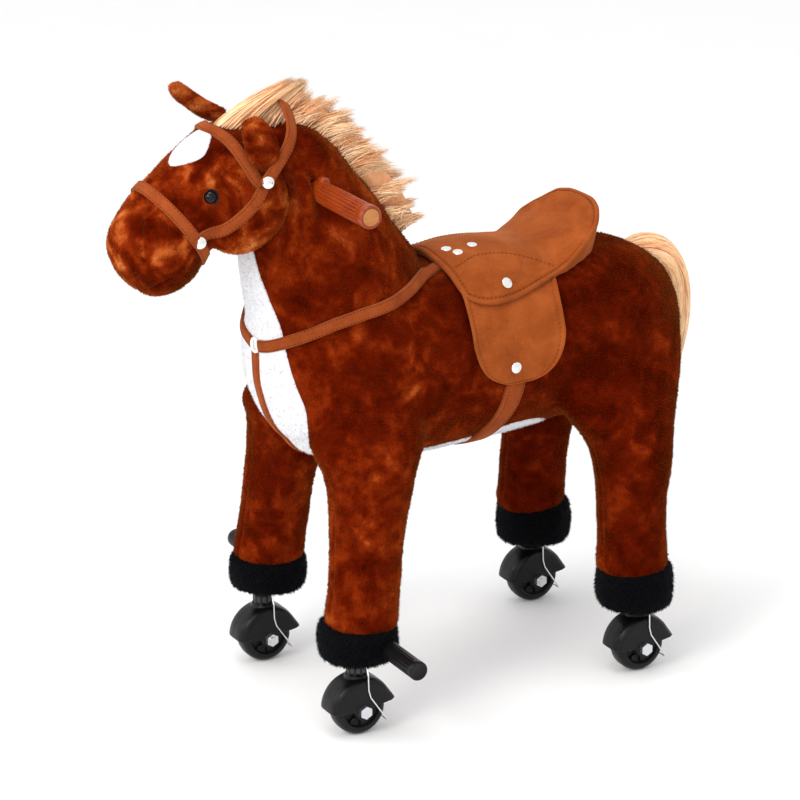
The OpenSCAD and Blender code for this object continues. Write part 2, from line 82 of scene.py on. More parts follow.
def set_camera():
    a, e = math.radians(CAMERA_AZIMUTH), math.radians(CAMERA_ELEVATION)
    back = Vector((math.sin(a) * math.cos(e), -math.cos(a) * math.cos(e), math.sin(e)))
    data = bpy.data.cameras.new("camera")
    data.lens, data.sensor_width = CAMERA_LENS, 36
    data.clip_start, data.clip_end = 0.1, 50
    camera = in_scene("camera", data)
    camera.location = CAMERA_TARGET + back * CAMERA_DISTANCE
    camera.rotation_euler = (-back).to_track_quat("-Z", "Y").to_euler()
    bpy.context.scene.camera = camera


# The soft boxes: name, place, size, power, colour
LIGHTS = [("key", (1.0, -2.2, 1.9), 1.1, 34, (1.0, 0.98, 0.95)),
          ("side", (3.0, -1.6, 1.4), 1.4, 12, (1, 1, 1)),
          ("front", (-1.2, -2.6, 1.4), 1.6, 14, (1, 1, 1)),
          ("top", (0.3, -0.7, 2.8), 1.6, 24, (1, 1, 1))]
WORLD_STRENGTH = 1.06


def add_light(name, place, size, power, colour):
    """A round soft box aimed at the middle of the pony."""
    data = bpy.data.lights.new(name, "AREA")
    data.shape, data.size, data.energy, data.color = "DISK", size, power, colour
    light = in_scene(name, data)
    light.location = place
    light.rotation_euler = (Vector((0, 0, 0.35)) - Vector(place)).to_track_quat("-Z", "Y").to_euler()


def set_stage():
    """The floor, the white surroundings and the soft boxes."""
    corners = 30 * np.array([(-1, -1, 0), (1, -1, 0), (1, 1, 0), (-1, 1, 0)])
    floor = new_piece("floor", corners / MM, [(0, 1, 2, 3)], None)
    floor.data.materials.append(material_floor())
    world = bpy.data.worlds.new("studio")
    bpy.context.scene.world = world
    world.use_nodes = True
    sky = world.node_tree.nodes["Background"].inputs
    sky["Color"].default_value, sky["Strength"].default_value = (1, 1, 1, 1), WORLD_STRENGTH
    for light in LIGHTS:
        add_light(*light)
    bpy.context.scene.view_settings.view_transform = "Standard"


# ---- materials ----

class Nodes:
    """A node tree that is written in few words."""

    def __init__(self, name):
        self.material = bpy.data.materials.new(name)
        self.material.use_nodes = True
        self.tree = self.material.node_tree
        self.shader = self.tree.nodes["Principled BSDF"]
        self.coords = None

    def add(self, kind, inputs=None, **settings):
        node = self.tree.nodes.new(kind)
        for key, value in settings.items():
            setattr(node, key, value)
        for key, value in (inputs or {}).items():
            self.put(node.inputs[key], value)
        return node

    def put(self, socket, value):
        if isinstance(value, bpy.types.NodeSocket):
            self.tree.links.new(value, socket)
        elif isinstance(value, tuple) and len(value) == 3 and len(socket.default_value) == 4:
            socket.default_value = (*value, 1)
        else:
            socket.default_value = value

    def place(self, stretch=(1, 1, 1)):
        """Object coordinates in metres, stretched along each axis."""
        if self.coords is None:
            self.coords = self.add("ShaderNodeTexCoord").outputs["Object"]
        if stretch == (1, 1, 1):
            return self.coords
        return self.add("ShaderNodeMapping", {"Vector": self.coords, "Scale": stretch}).outputs[0]

    def noise(self, scale, detail=3, rough=0.55, twist=0, stretch=(1, 1, 1)):
        return self.add("ShaderNodeTexNoise", {"Vector": self.place(stretch), "Scale": scale,
                        "Detail": detail, "Roughness": rough, "Distortion": twist}).outputs["Fac"]

    def ramp(self, fac, stops):
        node = self.add("ShaderNodeValToRGB", {"Fac": fac})
        elements = node.color_ramp.elements
        while len(elements) < len(stops):
            elements.new(0.5)
        for element, (at, colour) in zip(elements, stops):
            element.position = at
            element.color = (*colour, 1) if isinstance(colour, tuple) else (colour,) * 3 + (1,)
        return node.outputs["Color"]

    def mix(self, fac, a, b):
        node = self.add("ShaderNodeMix", data_type="RGBA")
        self.put(node.inputs[0], fac)
        self.put(node.inputs[6], a)
        self.put(node.inputs[7], b)
        return node.outputs[2]

    def math(self, kind, a, b=0.0):
        node = self.add("ShaderNodeMath", operation=kind)
        self.put(node.inputs[0], a)
        self.put(node.inputs[1], b)
        return node.outputs[0]

    def sway(self, value, grain, amount):
        """Adds grain, which is about 0.5 in the middle, to a value."""
        return self.math("ADD", value, self.math("MULTIPLY", self.math("SUBTRACT", grain, 0.5), amount))

    def bump(self, height, distance, strength=1.0, under=None):
        node = self.add("ShaderNodeBump", {"Height": height, "Distance": distance, "Strength": strength})
        if under is not None:
            self.put(node.inputs["Normal"], under)
        return node.outputs[0]

    def finish(self, **sockets):
        names = {"colour": "Base Color", "rough": "Roughness", "normal": "Normal", "metal": "Metallic",
                 "sheen": "Sheen Weight", "sheen_rough": "Sheen Roughness", "sheen_tint": "Sheen Tint",
                 "specular": "Specular IOR Level"}
        for key, value in sockets.items():
            self.put(self.shader.inputs[names[key]], value)
        return self.material


def material_floor():
    n = Nodes("floor_pale")
    return n.finish(colour=n.ramp(n.noise(6, 4), [(0, 0.84), (1, 0.87)]), rough=0.75)


def hue(r, g, b):
    """A display colour of 0 to 255 as linear light."""
    return tuple(((c / 255 + 0.055) / 1.055) ** 2.4 if c > 10 else c / 3294.6 for c in (r, g, b))


# The pile's colour from where it lies flat and dark to where it stands up and is light; on the body its tone
# also holds painted shade, darker towards the rump
CHESTNUT = [(0.0, hue(58, 7, 0)), (0.3, hue(88, 18, 2)), (0.52, hue(122, 38, 7)),
            (0.76, hue(170, 82, 33)), (1.0, hue(208, 128, 74))]
PILE_TONES = [(0.14, "pile_dark"), (0.34, "pile_low"), (0.5, "pile_middle"), (0.68, "pile_high"),
              (0.88, "pile_light")]
BLOND = {"hair_root": hue(226, 160, 113), "hair_middle": hue(244, 190, 141),
         "hair_light": hue(249, 206, 160), "hair_pale": hue(254, 222, 184)}


def chestnut(tone):
    """The colour of the pile at one tone."""
    places = [at for at, _ in CHESTNUT]
    return tuple(float(np.interp(tone, places, [c[k] for _, c in CHESTNUT])) for k in range(3))


def material_plush_brown():
    """Crushed chestnut pile: each piece's own tone, with painted shade darker towards the rump on the body,
    broken up by clumps and single hairs.
    """
    n = Nodes("plush_brown")
    tone = n.add("ShaderNodeAttribute", attribute_name="tone").outputs["Fac"]
    clumps = n.noise(210, 3, 0.62, 0.4)
    hairs = n.noise(900, 2, 0.6, 0.2, stretch=(1, 1, 0.5))
    colour = n.ramp(n.sway(n.sway(tone, clumps, 0.26), hairs, 0.18), CHESTNUT)
    normal = n.bump(clumps, 0.003, 0.5, n.bump(n.noise(1000, 2, 0.7), 0.0008, 0.7))
    return n.finish(colour=colour, normal=normal, rough=0.92, sheen=0.2, sheen_rough=0.3,
                    sheen_tint=(1.0, 0.34, 0.06), specular=0.0)


def material_hair(name, colour, sheen_tint, sheen=0.2, rough=0.8):
    """One plain tone of hair; the pattern comes from many hairs of several tones."""
    return Nodes(name).finish(colour=colour, rough=rough, sheen=sheen, sheen_rough=0.35,
                              sheen_tint=sheen_tint, specular=0.03)


def material_plush_plain(name, low, high, sheen_tint, sheen=0.4):
    """A short even pile in one colour."""
    n = Nodes(name)
    clumps = n.noise(160, 3, 0.6, 0.3)
    normal = n.bump(clumps, 0.003, 0.5, n.bump(n.noise(800, 2, 0.7), 0.0009, 0.8))
    return n.finish(colour=n.ramp(clumps, [(0.25, low), (0.75, high)]), normal=normal, rough=0.9,
                    sheen=sheen, sheen_rough=0.4, sheen_tint=sheen_tint, specular=0.04)


def material_suede(name, low, high):
    """Napped suede cloth: soft blotches with a fine nap over them."""
    n = Nodes(name)
    blotches = n.noise(24, 5, 0.62, 0.4)
    nap = n.noise(620, 3, 0.65)
    colour = n.ramp(n.sway(blotches, nap, 0.5), [(0.3, low), (0.7, high)])
    normal = n.bump(n.noise(90, 3, 0.6), 0.0012, 0.25, n.bump(nap, 0.0005, 0.8))
    return n.finish(colour=colour, normal=normal, rough=0.88, sheen=0.15, sheen_rough=0.4,
                    sheen_tint=(1.0, 0.6, 0.3), specular=0.04)


def material_metal(name, colour, rough):
    """Plated metal, a little duller and darker where it is worn."""
    n = Nodes(name)
    wear = n.noise(300, 4, 0.7, stretch=(1, 1, 4))
    return n.finish(colour=n.mix(wear, colour, tuple(0.93 * c for c in colour)), metal=1.0,
                    rough=n.ramp(wear, [(0.3, rough), (0.8, rough + 0.07)]),
                    normal=n.bump(n.noise(900, 2), 0.0001, 0.3))


def material_moulded(name, low, high, rough, specular=0.5, grain=0.0002):
    """Moulded plastic with a fine grain and faint handling marks."""
    n = Nodes(name)
    marks = n.noise(60, 5, 0.65)
    return n.finish(colour=n.ramp(marks, [(0.3, low), (0.75, high)]),
                    normal=n.bump(n.noise(1400, 2), grain, 0.5),
                    rough=n.ramp(marks, [(0.35, rough), (0.75, rough + 0.14)]), specular=specular)


def material_wood(name, low, high):
    n = Nodes(name)
    grain = n.noise(40, 6, 0.6, 0.6, stretch=(6, 0.6, 6))
    return n.finish(colour=n.ramp(grain, [(0.3, low), (0.7, high)]), rough=0.5,
                    normal=n.bump(grain, 0.0003, 0.4))


def make_materials():
    made = {
        "plush_brown": material_plush_brown(),
        "plush_white": material_plush_plain("plush_white", hue(210, 211, 215), hue(224, 224, 228),
                                            (1, 1, 1), 0.2),
        "plush_black": material_plush_plain("plush_black", hue(3, 3, 4), hue(11, 11, 13),
                                            (0.35, 0.4, 0.5), 0.05),
        "ear_lining": material_plush_plain("ear_lining", hue(206, 128, 112), hue(228, 156, 140),
                                           (1, 0.8, 0.75), 0.2),
        "mane_fur": material_plush_plain("mane_fur", hue(206, 142, 98), hue(232, 176, 128),
                                         (1, 0.85, 0.7), 0.2),
        "saddle_suede": material_suede("saddle_suede", hue(124, 56, 20), hue(154, 77, 33)),
        "strap_suede": material_suede("strap_suede", hue(118, 50, 19), hue(148, 70, 33)),
        "thread": material_suede("thread", hue(70, 28, 10), hue(92, 40, 16)),
        "stud_metal": material_metal("stud_metal", (0.84, 0.83, 0.80), 0.2),
        "zinc": material_metal("zinc", (0.66, 0.68, 0.70), 0.30),
        "bare_steel": material_metal("bare_steel", (0.72, 0.73, 0.75), 0.18),
        "frame_paint": material_moulded("frame_paint", hue(30, 30, 32), hue(44, 44, 46), 0.4),
        "handle_plastic": material_moulded("handle_plastic", hue(120, 41, 6), hue(146, 55, 10), 0.26,
                                           0.35, 0.0001),
        "end_disc": material_wood("end_disc", hue(160, 96, 42), hue(190, 124, 62)),
        "black_plastic": material_moulded("black_plastic", hue(7, 7, 8), hue(13, 13, 15), 0.26, 0.2),
        "wheel_rubber": material_moulded("wheel_rubber", hue(9, 9, 10), hue(17, 17, 19), 0.36, 0.2),
        "eye_plastic": material_moulded("eye_plastic", (0.002, 0.002, 0.002), (0.004, 0.003, 0.003),
                                        0.04, 0.22, 0.00002),
        "ring_plastic": material_moulded("ring_plastic", hue(216, 214, 208), hue(236, 234, 228), 0.3),
        "board_wood": material_wood("board_wood", hue(168, 130, 84), hue(204, 168, 118)),
        "bush_nylon": material_moulded("bush_nylon", hue(214, 208, 190), hue(230, 226, 212), 0.45),
        "pile_white": material_hair("pile_white", hue(216, 216, 220), (1, 1, 1), 0.1),
        "pile_black": material_hair("pile_black", hue(9, 9, 11), (0.4, 0.45, 0.55), 0.05),
    }
    for tone, name in PILE_TONES:
        made[name] = material_hair(name, chestnut(tone), (1.0, 0.34, 0.06), 0.18, 0.9)
    for name, colour in BLOND.items():
        made[name] = material_hair(name, colour, (1, 0.85, 0.65), 0.2, 0.6)
    return made


MATERIALS = make_materials()


def paint_cad_nodes():
    slots = {s["node"]: s["material_slot"] for s in frame["record"]["subparts"]}
    for name, node in frame["nodes"].items():
        node.data.materials.clear()
        node.data.materials.append(MATERIALS[slots[name]])


# ---- points and curves; lengths in millimetres from here on ----

def unit(v):
    v = np.asarray(v, float)
    return v / np.maximum(np.linalg.norm(v, axis=-1, keepdims=True), 1e-9)


def catmull(points, at):
    """The smooth curve through points, at places from 0 to the last point's number."""
    p = np.asarray(points, float)
    ends = np.concatenate([[2 * p[0] - p[1]], p, [2 * p[-1] - p[-2]]])
    i = np.clip(at.astype(int), 0, len(p) - 2)
    t = (at - i).reshape((-1,) + (1,) * (p.ndim - 1))
    a, b, c, d = (ends[i + k] for k in range(4))
    return 0.5 * (2 * b + (c - a) * t + (2 * a - 5 * b + 4 * c - d) * t ** 2
                  + (3 * b - a - 3 * c + d) * t ** 3)


def refine(rows, count):
    """More rows, smoothly between the given ones."""
    return catmull(rows, np.linspace(0, len(rows) - 1, count))


def even_line(points, step):
    """Points a step apart along the smooth curve through a few points."""
    fine = refine(points, 24 * len(points))
    run = np.concatenate([[0], np.cumsum(np.linalg.norm(np.diff(fine, axis=0), axis=1))])
    at = np.linspace(0, run[-1], max(3, int(run[-1] / step) + 1))
    return np.stack([np.interp(at, run, fine[:, k]) for k in range(3)], 1)


LATTICE = np.random.default_rng(7).random((48, 48, 48))


def grain(points, size):
    """Smooth noise from 0 to 1 with lumps of about that size."""
    q = np.asarray(points, float) / size + 960
    i = np.floor(q).astype(int)
    f = q - i
    f = f * f * (3 - 2 * f)
    total = 0
    for corner in itertools.product((0, 1), repeat=3):
        share = np.prod(np.where(corner, f, 1 - f), axis=-1)
        j = (i + corner) % len(LATTICE)
        total = total + share * LATTICE[j[..., 0], j[..., 1], j[..., 2]]
    return total


def swirl(points, size):
    """A smooth random vector at each point, each part from -1 to 1."""
    return np.stack([2 * grain(np.asarray(points) + shift, size) - 1 for shift in (0, 517, 1033)], -1)


def pile_tone_and_shade(points, on_head=False):
    """How light the crushed pile is: patches 6 to 40 mm across, crisper and lighter on the head; on the body
    painted shade darkens it towards the rump.
    """
    p = points + 9 * swirl(points, 30)
    patches = 0.5 * (grain(p, 34) - 0.5) + 0.5 * (grain(p + 300, 13) - 0.5) + 0.3 * (grain(p + 700, 6) - 0.5)
    # Painted shade: the body's pile grows darker from the chest back to the rump, where it faces away from
    # the light
    behind = np.clip((points[:, 1] + 40) / 340, 0, 1)
    tone = 0.44 + 1.15 * patches if on_head else 0.32 - 0.17 * behind + 0.75 * patches
    return np.clip(tone, 0.02, 0.98)


# ---- mesh helpers ----

def new_piece(name, verts, faces, material):
    """A mesh piece from points and faces, its normals outwards."""
    mesh = bpy.data.meshes.new(name)
    mesh.from_pydata((np.asarray(verts, float) * MM).tolist(), [], [tuple(map(int, f)) for f in faces])
    bm = bmesh.new()
    bm.from_mesh(mesh)
    bmesh.ops.recalc_face_normals(bm, faces=bm.faces)
    bm.to_mesh(mesh)
    bm.free()
    mesh.polygons.foreach_set("use_smooth", [True] * len(mesh.polygons))
    piece = in_scene(name, mesh)
    if material:
        mesh.materials.append(MATERIALS[material])
    return piece


def triangle_piece(name, verts, triangles, material):
    """A piece of many small triangles, made fast."""
    mesh = bpy.data.meshes.new(name)
    mesh.vertices.add(len(verts))
    mesh.vertices.foreach_set("co", (verts * MM).astype(np.float32).ravel())
    mesh.loops.add(triangles.size)
    mesh.loops.foreach_set("vertex_index", triangles.ravel().astype(np.int32))
    mesh.polygons.add(len(triangles))
    mesh.polygons.foreach_set("loop_start", np.arange(0, triangles.size, 3, dtype=np.int32))
    mesh.update(calc_edges=True)
    mesh.polygons.foreach_set("use_smooth", [True] * len(triangles))
    mesh.materials.append(MATERIALS[material])
    return in_scene(name, mesh)


def apply(piece, kind, **settings):
    """Adds a modifier and applies it at once."""
    modifier = piece.modifiers.new(kind, kind)
    for key, value in settings.items():
        setattr(modifier, key, value)
    graph = bpy.context.evaluated_depsgraph_get()
    graph.update()
    made = bpy.data.meshes.new_from_object(piece.evaluated_get(graph), depsgraph=graph)
    piece.modifiers.clear()
    old = piece.data
    piece.data = made
    bpy.data.meshes.remove(old)
    made.polygons.foreach_set("use_smooth", [True] * len(made.polygons))
    return piece


def points_of(piece):
    co = np.empty(len(piece.data.vertices) * 3)
    piece.data.vertices.foreach_get("co", co)
    return co.reshape(-1, 3) / MM


def set_points(piece, points):
    piece.data.vertices.foreach_set("co", (np.asarray(points, float) * MM).ravel())
    piece.data.update()


def normals_of(piece):
    normals = np.empty(len(piece.data.vertices) * 3)
    piece.data.vertex_normals.foreach_get("vector", normals)
    return normals.reshape(-1, 3)


def push(piece, distance):
    """Moves each point along its normal by its own distance."""
    set_points(piece, points_of(piece) + normals_of(piece) * np.asarray(distance)[:, None])
    return piece


def add_tone(piece, on_head=False):
    """Writes the pile's tone, with its painted rump shade, on a plush piece, for its material."""
    tone = pile_tone_and_shade(points_of(piece), on_head)
    piece.data.attributes.new("tone", "FLOAT", "POINT").data.foreach_set("value", tone.astype(np.float32))
    return piece


def loft(rings, loop=False):
    """Points and faces of a skin through closed rings; its ends are closed unless it is a loop."""
    rings = np.asarray(rings, float)
    count, around = rings.shape[:2]
    at = np.arange(count * around).reshape(count, around)
    ahead = np.roll(at, -1, 0) if loop else at[1:]
    here = at if loop else at[:-1]
    quads = np.stack([here, np.roll(here, -1, 1), np.roll(ahead, -1, 1), ahead], -1).reshape(-1, 4)
    faces = [tuple(q) for q in quads]
    if not loop:
        faces += [tuple(at[0, ::-1]), tuple(at[-1])]
    return rings.reshape(-1, 3), faces


def slab(top, bottom):
    """A closed solid between two grids of points."""
    rows, columns = top.shape[:2]
    n = rows * columns
    at = np.arange(n).reshape(rows, columns)
    a, b, c, d = at[:-1, :-1], at[:-1, 1:], at[1:, 1:], at[1:, :-1]
    rim = np.concatenate([at[0, :-1], at[:-1, -1], at[-1, :0:-1], at[:0:-1, 0]])
    ahead = np.roll(rim, -1)
    quads = [np.stack([a, b, c, d], -1).reshape(-1, 4), np.stack([d, c, b, a], -1).reshape(-1, 4) + n,
             np.stack([ahead, rim, rim + n, ahead + n], -1)]
    return np.concatenate([top.reshape(-1, 3), bottom.reshape(-1, 3)]), np.concatenate(quads)


def merged(parts):
    verts, faces, base = [], [], 0
    for v, f in parts:
        faces += [tuple(int(i) + base for i in face) for face in f]
        verts.append(np.asarray(v, float))
        base += len(v)
    return np.concatenate(verts), faces


def mirrored(part):
    verts, faces = part
    return np.asarray(verts) * (-1, 1, 1), [tuple(reversed(tuple(f))) for f in faces]


# How square the trunk's slices are: 2 is an ellipse
SQUARENESS = 2.2


def ring_xz(y, centre_z, half_w, half_h, count=48):
    """A slightly squared ring across the body at one place along Y."""
    t = TAU * np.arange(count) / count
    across, up = (np.copysign(np.abs(v) ** (2 / SQUARENESS), v) for v in (np.cos(t), np.sin(t)))
    return np.stack([half_w * across, np.full(count, y), centre_z + half_h * up], 1)


def ring_xy(z, x, y, half_x, half_y, count=40):
    """A level ring at one height."""
    t = TAU * np.arange(count) / count
    return np.stack([x + half_x * np.cos(t), y + half_y * np.sin(t), np.full(count, z)], 1)


def ring_about(centre, side, up, half_side, half_up, count=40):
    """A ring in the plane of two directions."""
    t = TAU * np.arange(count)[:, None] / count
    return (np.asarray(centre) + np.asarray(side) * half_side * np.cos(t)
            + np.asarray(up) * half_up * np.sin(t))


def ball(centre, axes, rings=16, count=28):
    """An ellipsoid; axes are three vectors, each a half length long."""
    a, b, c = np.asarray(axes, float)
    made = [np.asarray(centre) + c * math.cos(math.pi * i / rings)
            + (a * np.cos(TAU * np.arange(count) / count)[:, None]
               + b * np.sin(TAU * np.arange(count) / count)[:, None]) * math.sin(math.pi * i / rings)
            for i in range(1, rings)]
    return loft(made)


def turned(profile, centre, count=72):
    """A solid turned about an X axis through centre: profile is a closed loop of (x, radius)."""
    rings = []
    for k in range(count):
        t = TAU * k / count
        rings.append([(centre[0] + x, centre[1] + r * math.cos(t), centre[2] + r * math.sin(t))
                      for x, r in profile])
    return loft(rings, loop=True)


def tube(line, radius, loop=False, sides=10):
    """A round cord along a line."""
    line = np.asarray(line, float)
    ahead = np.roll(line, -1, 0) - np.roll(line, 1, 0) if loop else np.gradient(line, axis=0)
    ahead = unit(ahead)
    side = np.cross(ahead[0], UP if abs(ahead[0][2]) < 0.9 else ACROSS)
    rings = []
    for p, t in zip(line, ahead):
        side = unit(side - t * side.dot(t))
        rings.append(ring_about(p, side, np.cross(t, side), radius, radius, sides))
    return loft(rings, loop)


def voxel_union(piece, size, smoothing=8):
    """Joins the overlapping parts of a piece to one smooth skin, without stray islands."""
    apply(piece, "REMESH", mode="VOXEL", voxel_size=size * MM, use_smooth_shade=True)
    bm = bmesh.new()
    bm.from_mesh(piece.data)
    left, islands = set(bm.verts), []
    while left:
        island = [left.pop()]
        for vert in island:
            for edge in vert.link_edges:
                other = edge.other_vert(vert)
                if other in left:
                    left.remove(other)
                    island.append(other)
        islands.append(island)
    islands.sort(key=len)
    bmesh.ops.delete(bm, geom=[v for island in islands[:-1] for v in island], context="VERTS")
    bm.to_mesh(piece.data)
    bm.free()
    return apply(piece, "SMOOTH", factor=0.6, iterations=smoothing)


class Skin:
    """The outside of some pieces, for laying things on."""

    def __init__(self, *pieces):
        parts = [(points_of(p), [f.vertices[:] for f in p.data.polygons]) for p in pieces]
        verts, faces = merged(parts)
        self.tree = BVHTree.FromPolygons(verts.tolist(), faces)

    def near(self, point):
        spot, normal = self.tree.find_nearest(Vector(point))[:2]
        return np.array(spot), np.array(normal)

    def lay(self, points, lift=0.0):
        """Points moved onto the skin, and the skin's normals there."""
        found = [self.near(p) for p in points]
        normals = np.array([n for _, n in found])
        return np.array([s for s, _ in found]) + lift * normals, normals

    def hit(self, start, aim):
        """Where a ray from start first meets the skin, or the nearest place to start."""
        spot, normal = self.tree.ray_cast(Vector(start), Vector(unit(aim)))[:2]
        if spot is None:
            return self.near(start)
        return np.array(spot), np.array(normal)

    def girdle(self, centre, side, up, start, end, count):
        """A line round the skin in one plane, between two angles from side towards up."""
        far = 220
        angles = np.linspace(math.radians(start), math.radians(end), count)
        rays = np.outer(np.cos(angles), side) + np.outer(np.sin(angles), up)
        return np.array([self.hit(np.asarray(centre) + far * ray, -ray)[0] for ray in rays])


def crease(piece, line, depth, width):
    """Presses a groove into a piece along a line, or raises a welt where depth is negative."""
    points = points_of(piece)
    line = np.asarray(line, float)
    reach = 3 * width
    near = np.all((points > line.min(0) - reach) & (points < line.max(0) + reach), axis=1)
    found = np.where(near)[0]
    gap = np.full(len(points), 1e9)
    for chunk in np.array_split(found, max(1, len(found) // 4000)):
        if len(chunk):
            gap[chunk] = np.linalg.norm(points[chunk][:, None] - line[None], axis=2).min(1)
    return push(piece, -depth * np.exp(-(gap / width) ** 2))


# ---- the plush body ----

# Slices of the trunk: place along Y, middle height, half width, half height
TRUNK = [(-190, 412, 20, 30), (-187, 411, 36, 43), (-178, 401, 59, 61), (-162, 393, 80, 79),
         (-120, 385, 100, 98), (-60, 380, 107, 103), (13, 379, 106, 104), (90, 381, 105, 101),
         (168, 384, 106, 98), (215, 385, 106, 93), (253, 386, 98, 87), (287, 383, 80, 73),
         (309, 379, 56, 55), (321, 376, 26, 27)]
# Slices of the neck: height, front, back, half width
NECK = [(430, -188, 10, 92), (452, -194, -4, 87), (496, -202, -6, 77), (532, -205, -32, 68),
        (569, -201, -56, 62), (600, -196, -81, 58), (629, -190, -105, 50), (650, -186, -126, 37),
        (661, -176, -150, 14)]
# Slices of a leg: height, middle across, middle along, half width, half length
FRONT_LEG = [(118, 112, -127, 35, 35), (131, 112, -126.3, 40.5, 40.5), (150, 112, -125, 39, 39),
             (190, 110, -121, 39, 39), (240, 107, -116, 42, 42), (268, 104, -112, 44, 46),
             (298, 97, -109, 47, 54), (322, 91, -107, 46, 65), (350, 76, -101, 41, 66),
             (390, 58, -95, 40, 66), (430, 45, -95, 30, 50)]
REAR_LEG = [(118, 114, 215, 35, 35), (131, 114, 215, 40.5, 40.5), (150, 114, 215, 39, 39),
            (190, 113, 213.5, 39, 39), (228, 111, 214.5, 41, 41.5), (274, 105, 213.5, 44, 51),
            (312, 94, 207, 47, 70), (350, 76, 209, 44, 85), (390, 60, 212, 42, 88), (425, 46, 210, 36, 66)]
# A fold in front of each haunch: along, height
HAUNCH_CREASE = [(150, 300), (142, 330), (150, 360)]
# How far the photographed pony's right legs lean from the mirrored left ones: across, along
FRONT_LEAN, REAR_LEAN = (3, 8), (5, 14)
FOOT_Z, HIP_Z = 118, 290


def leaning(slices, lean):
    """A right leg's slices, still to be mirrored: its top stands inwards and back."""
    shares = [0.2 + 0.8 * min(1, (z - FOOT_Z) / (HIP_Z - FOOT_Z)) for z, *_ in slices]
    return [(z, x - lean[0] * share, y + lean[1] * share, half_x, half_y)
            for share, (z, x, y, half_x, half_y) in zip(shares, slices)]


def leg_part(slices):
    return loft([ring_xy(*s) for s in refine(slices, 34)])


def body_parts():
    trunk = loft([ring_xz(*s) for s in refine(TRUNK, 60)])
    neck = loft([ring_xy(z, 0, (front + back) / 2, half, (back - front) / 2)
                 for z, front, back, half in refine(NECK, 36)])
    far_legs = [mirrored(leg_part(leaning(*leg))) for leg in ((FRONT_LEG, FRONT_LEAN), (REAR_LEG, REAR_LEAN))]
    lip = ball(mid("grip_left") * (0, 1, 1) + (56, -17, -3), (ACROSS * 17, ALONG * 10, np.array([0, -5, 27])))
    fork = ball((0, -132, 318), (ACROSS * 80, ALONG * 25, UP * 27))
    near_legs = [leg_part(FRONT_LEG), leg_part(REAR_LEG)]
    return merged([trunk, neck, lip, mirrored(lip), fork] + near_legs + far_legs)


def stuffed(piece, lump=2.2):
    """The soft unevenness of a stuffed skin."""
    points = points_of(piece)
    return push(piece, lump * (grain(points, 42) - 0.5) + 0.5 * lump * (grain(points + 90, 17) - 0.5))


def leg_seam(skin, slices, side):
    """A seam straight down the front of a leg."""
    low, high = 122, 300
    return even_line([skin.hit((side * x, y - 90, z), ALONG)[0]
                      for z, x, y, *_ in refine(slices, 60) if low < z < high], 1.5)


def make_body():
    body = voxel_union(new_piece("plush_body", *body_parts(), "plush_brown"), 4, 14)
    apply(body, "SUBSURF", levels=1)
    stuffed(body)
    skin = Skin(body)
    for side in (-1, 1):
        for slices, lean in ((FRONT_LEG, FRONT_LEAN), (REAR_LEG, REAR_LEAN)):
            leg = slices if side == 1 else leaning(slices, lean)
            crease(body, leg_seam(skin, leg, side), 1.4, 2.2)
        grip = mid("grip_left") * (side, 1, 1)
        root = skin.hit((side * 160, grip[1], grip[2]), (-side, 0, 0))[0]
        slit = even_line([root + (0, -9, -10), root + (0, -10, 2), root + (0, -6, 12)], 1.5)
        crease(body, slit, 6, 4)
    haunch = even_line([skin.hit((260, y, z), -ACROSS)[0] for y, z in HAUNCH_CREASE], 2)
    for line in (haunch, haunch * (-1, 1, 1)):
        crease(body, line, 1.6, 6)
    return add_tone(body)


def box_of(node):
    """The low and the high corner of a CAD node's box."""
    return (np.array(corner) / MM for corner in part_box(node))


def mid(node):
    """The middle of a CAD node's box."""
    low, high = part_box(node)
    return np.array((low + high) / 2) / MM


# ---- the head ----

SKULL, MUZZLE = np.array([0, -222, 603.0]), np.array([0, -309, 541.0])
HEAD_AXIS = unit(MUZZLE - SKULL)
HEAD_UP = np.cross(HEAD_AXIS, ACROSS)
# Slices of the head: place along it, middle height, half width, half height
HEAD = [(-55, 0, 20, 14), (-50, 2, 32, 30), (-38, 3, 44, 44), (-18, 4, 54, 57), (10, 2, 57, 60),
        (42, 8, 54, 53), (62, 10, 51.5, 49), (76, 8, 53, 50), (92, 4, 54, 52.5), (110, 1, 52, 50.5),
        (126, 0, 46, 46), (138, -1, 38, 37.5), (146, -2, 25, 26), (151, -2, 11, 10)]
CHEEK = (13, 39, -20)
# The white diamond: half width and half length, place along the head, and how far it sits to the left
BLAZE_HALF, BLAZE_CENTRE, BLAZE_ASIDE = (22, 29), 12, 6


def on_head(s, x, u):
    """A point of the head: along its axis, across it and up from it."""
    return SKULL + s * HEAD_AXIS + x * ACROSS + u * HEAD_UP


def make_head():
    rings = [ring_about(on_head(s, 0, u), ACROSS, HEAD_UP, w, h, 48) for s, u, w, h in refine(HEAD, 60)]
    s, x, u = CHEEK
    cheek = ball(on_head(s, x, u), (HEAD_AXIS * 51, HEAD_UP * 43, ACROSS * 27))
    brow = ball(on_head(32, 33, 30), (HEAD_AXIS * 26, HEAD_UP * 20, ACROSS * 19))
    parts = [loft(rings), cheek, mirrored(cheek), brow, mirrored(brow)]
    head = voxel_union(new_piece("plush_head", *merged(parts), "plush_brown"), 3, 10)
    apply(head, "SUBSURF", levels=1)
    stuffed(head, 1.6)
    skin = Skin(head)

    def drawn(places):
        """A line on the head through a few of its own places, seen from outside."""
        return even_line([skin.near(on_head(*p))[0] for p in places], 1.2)

    for side in (-1, 1):
        for line, depth, width in HEAD_GROOVES:
            crease(head, drawn([(s, side * x, u) for s, x, u in line]), depth, width)
    crease(head, drawn(NOSE_SEAM), 1.1, 1.8)
    return add_tone(head, True)


EYE_PLACE, EYE_R = (37, 46, 30), 7.5
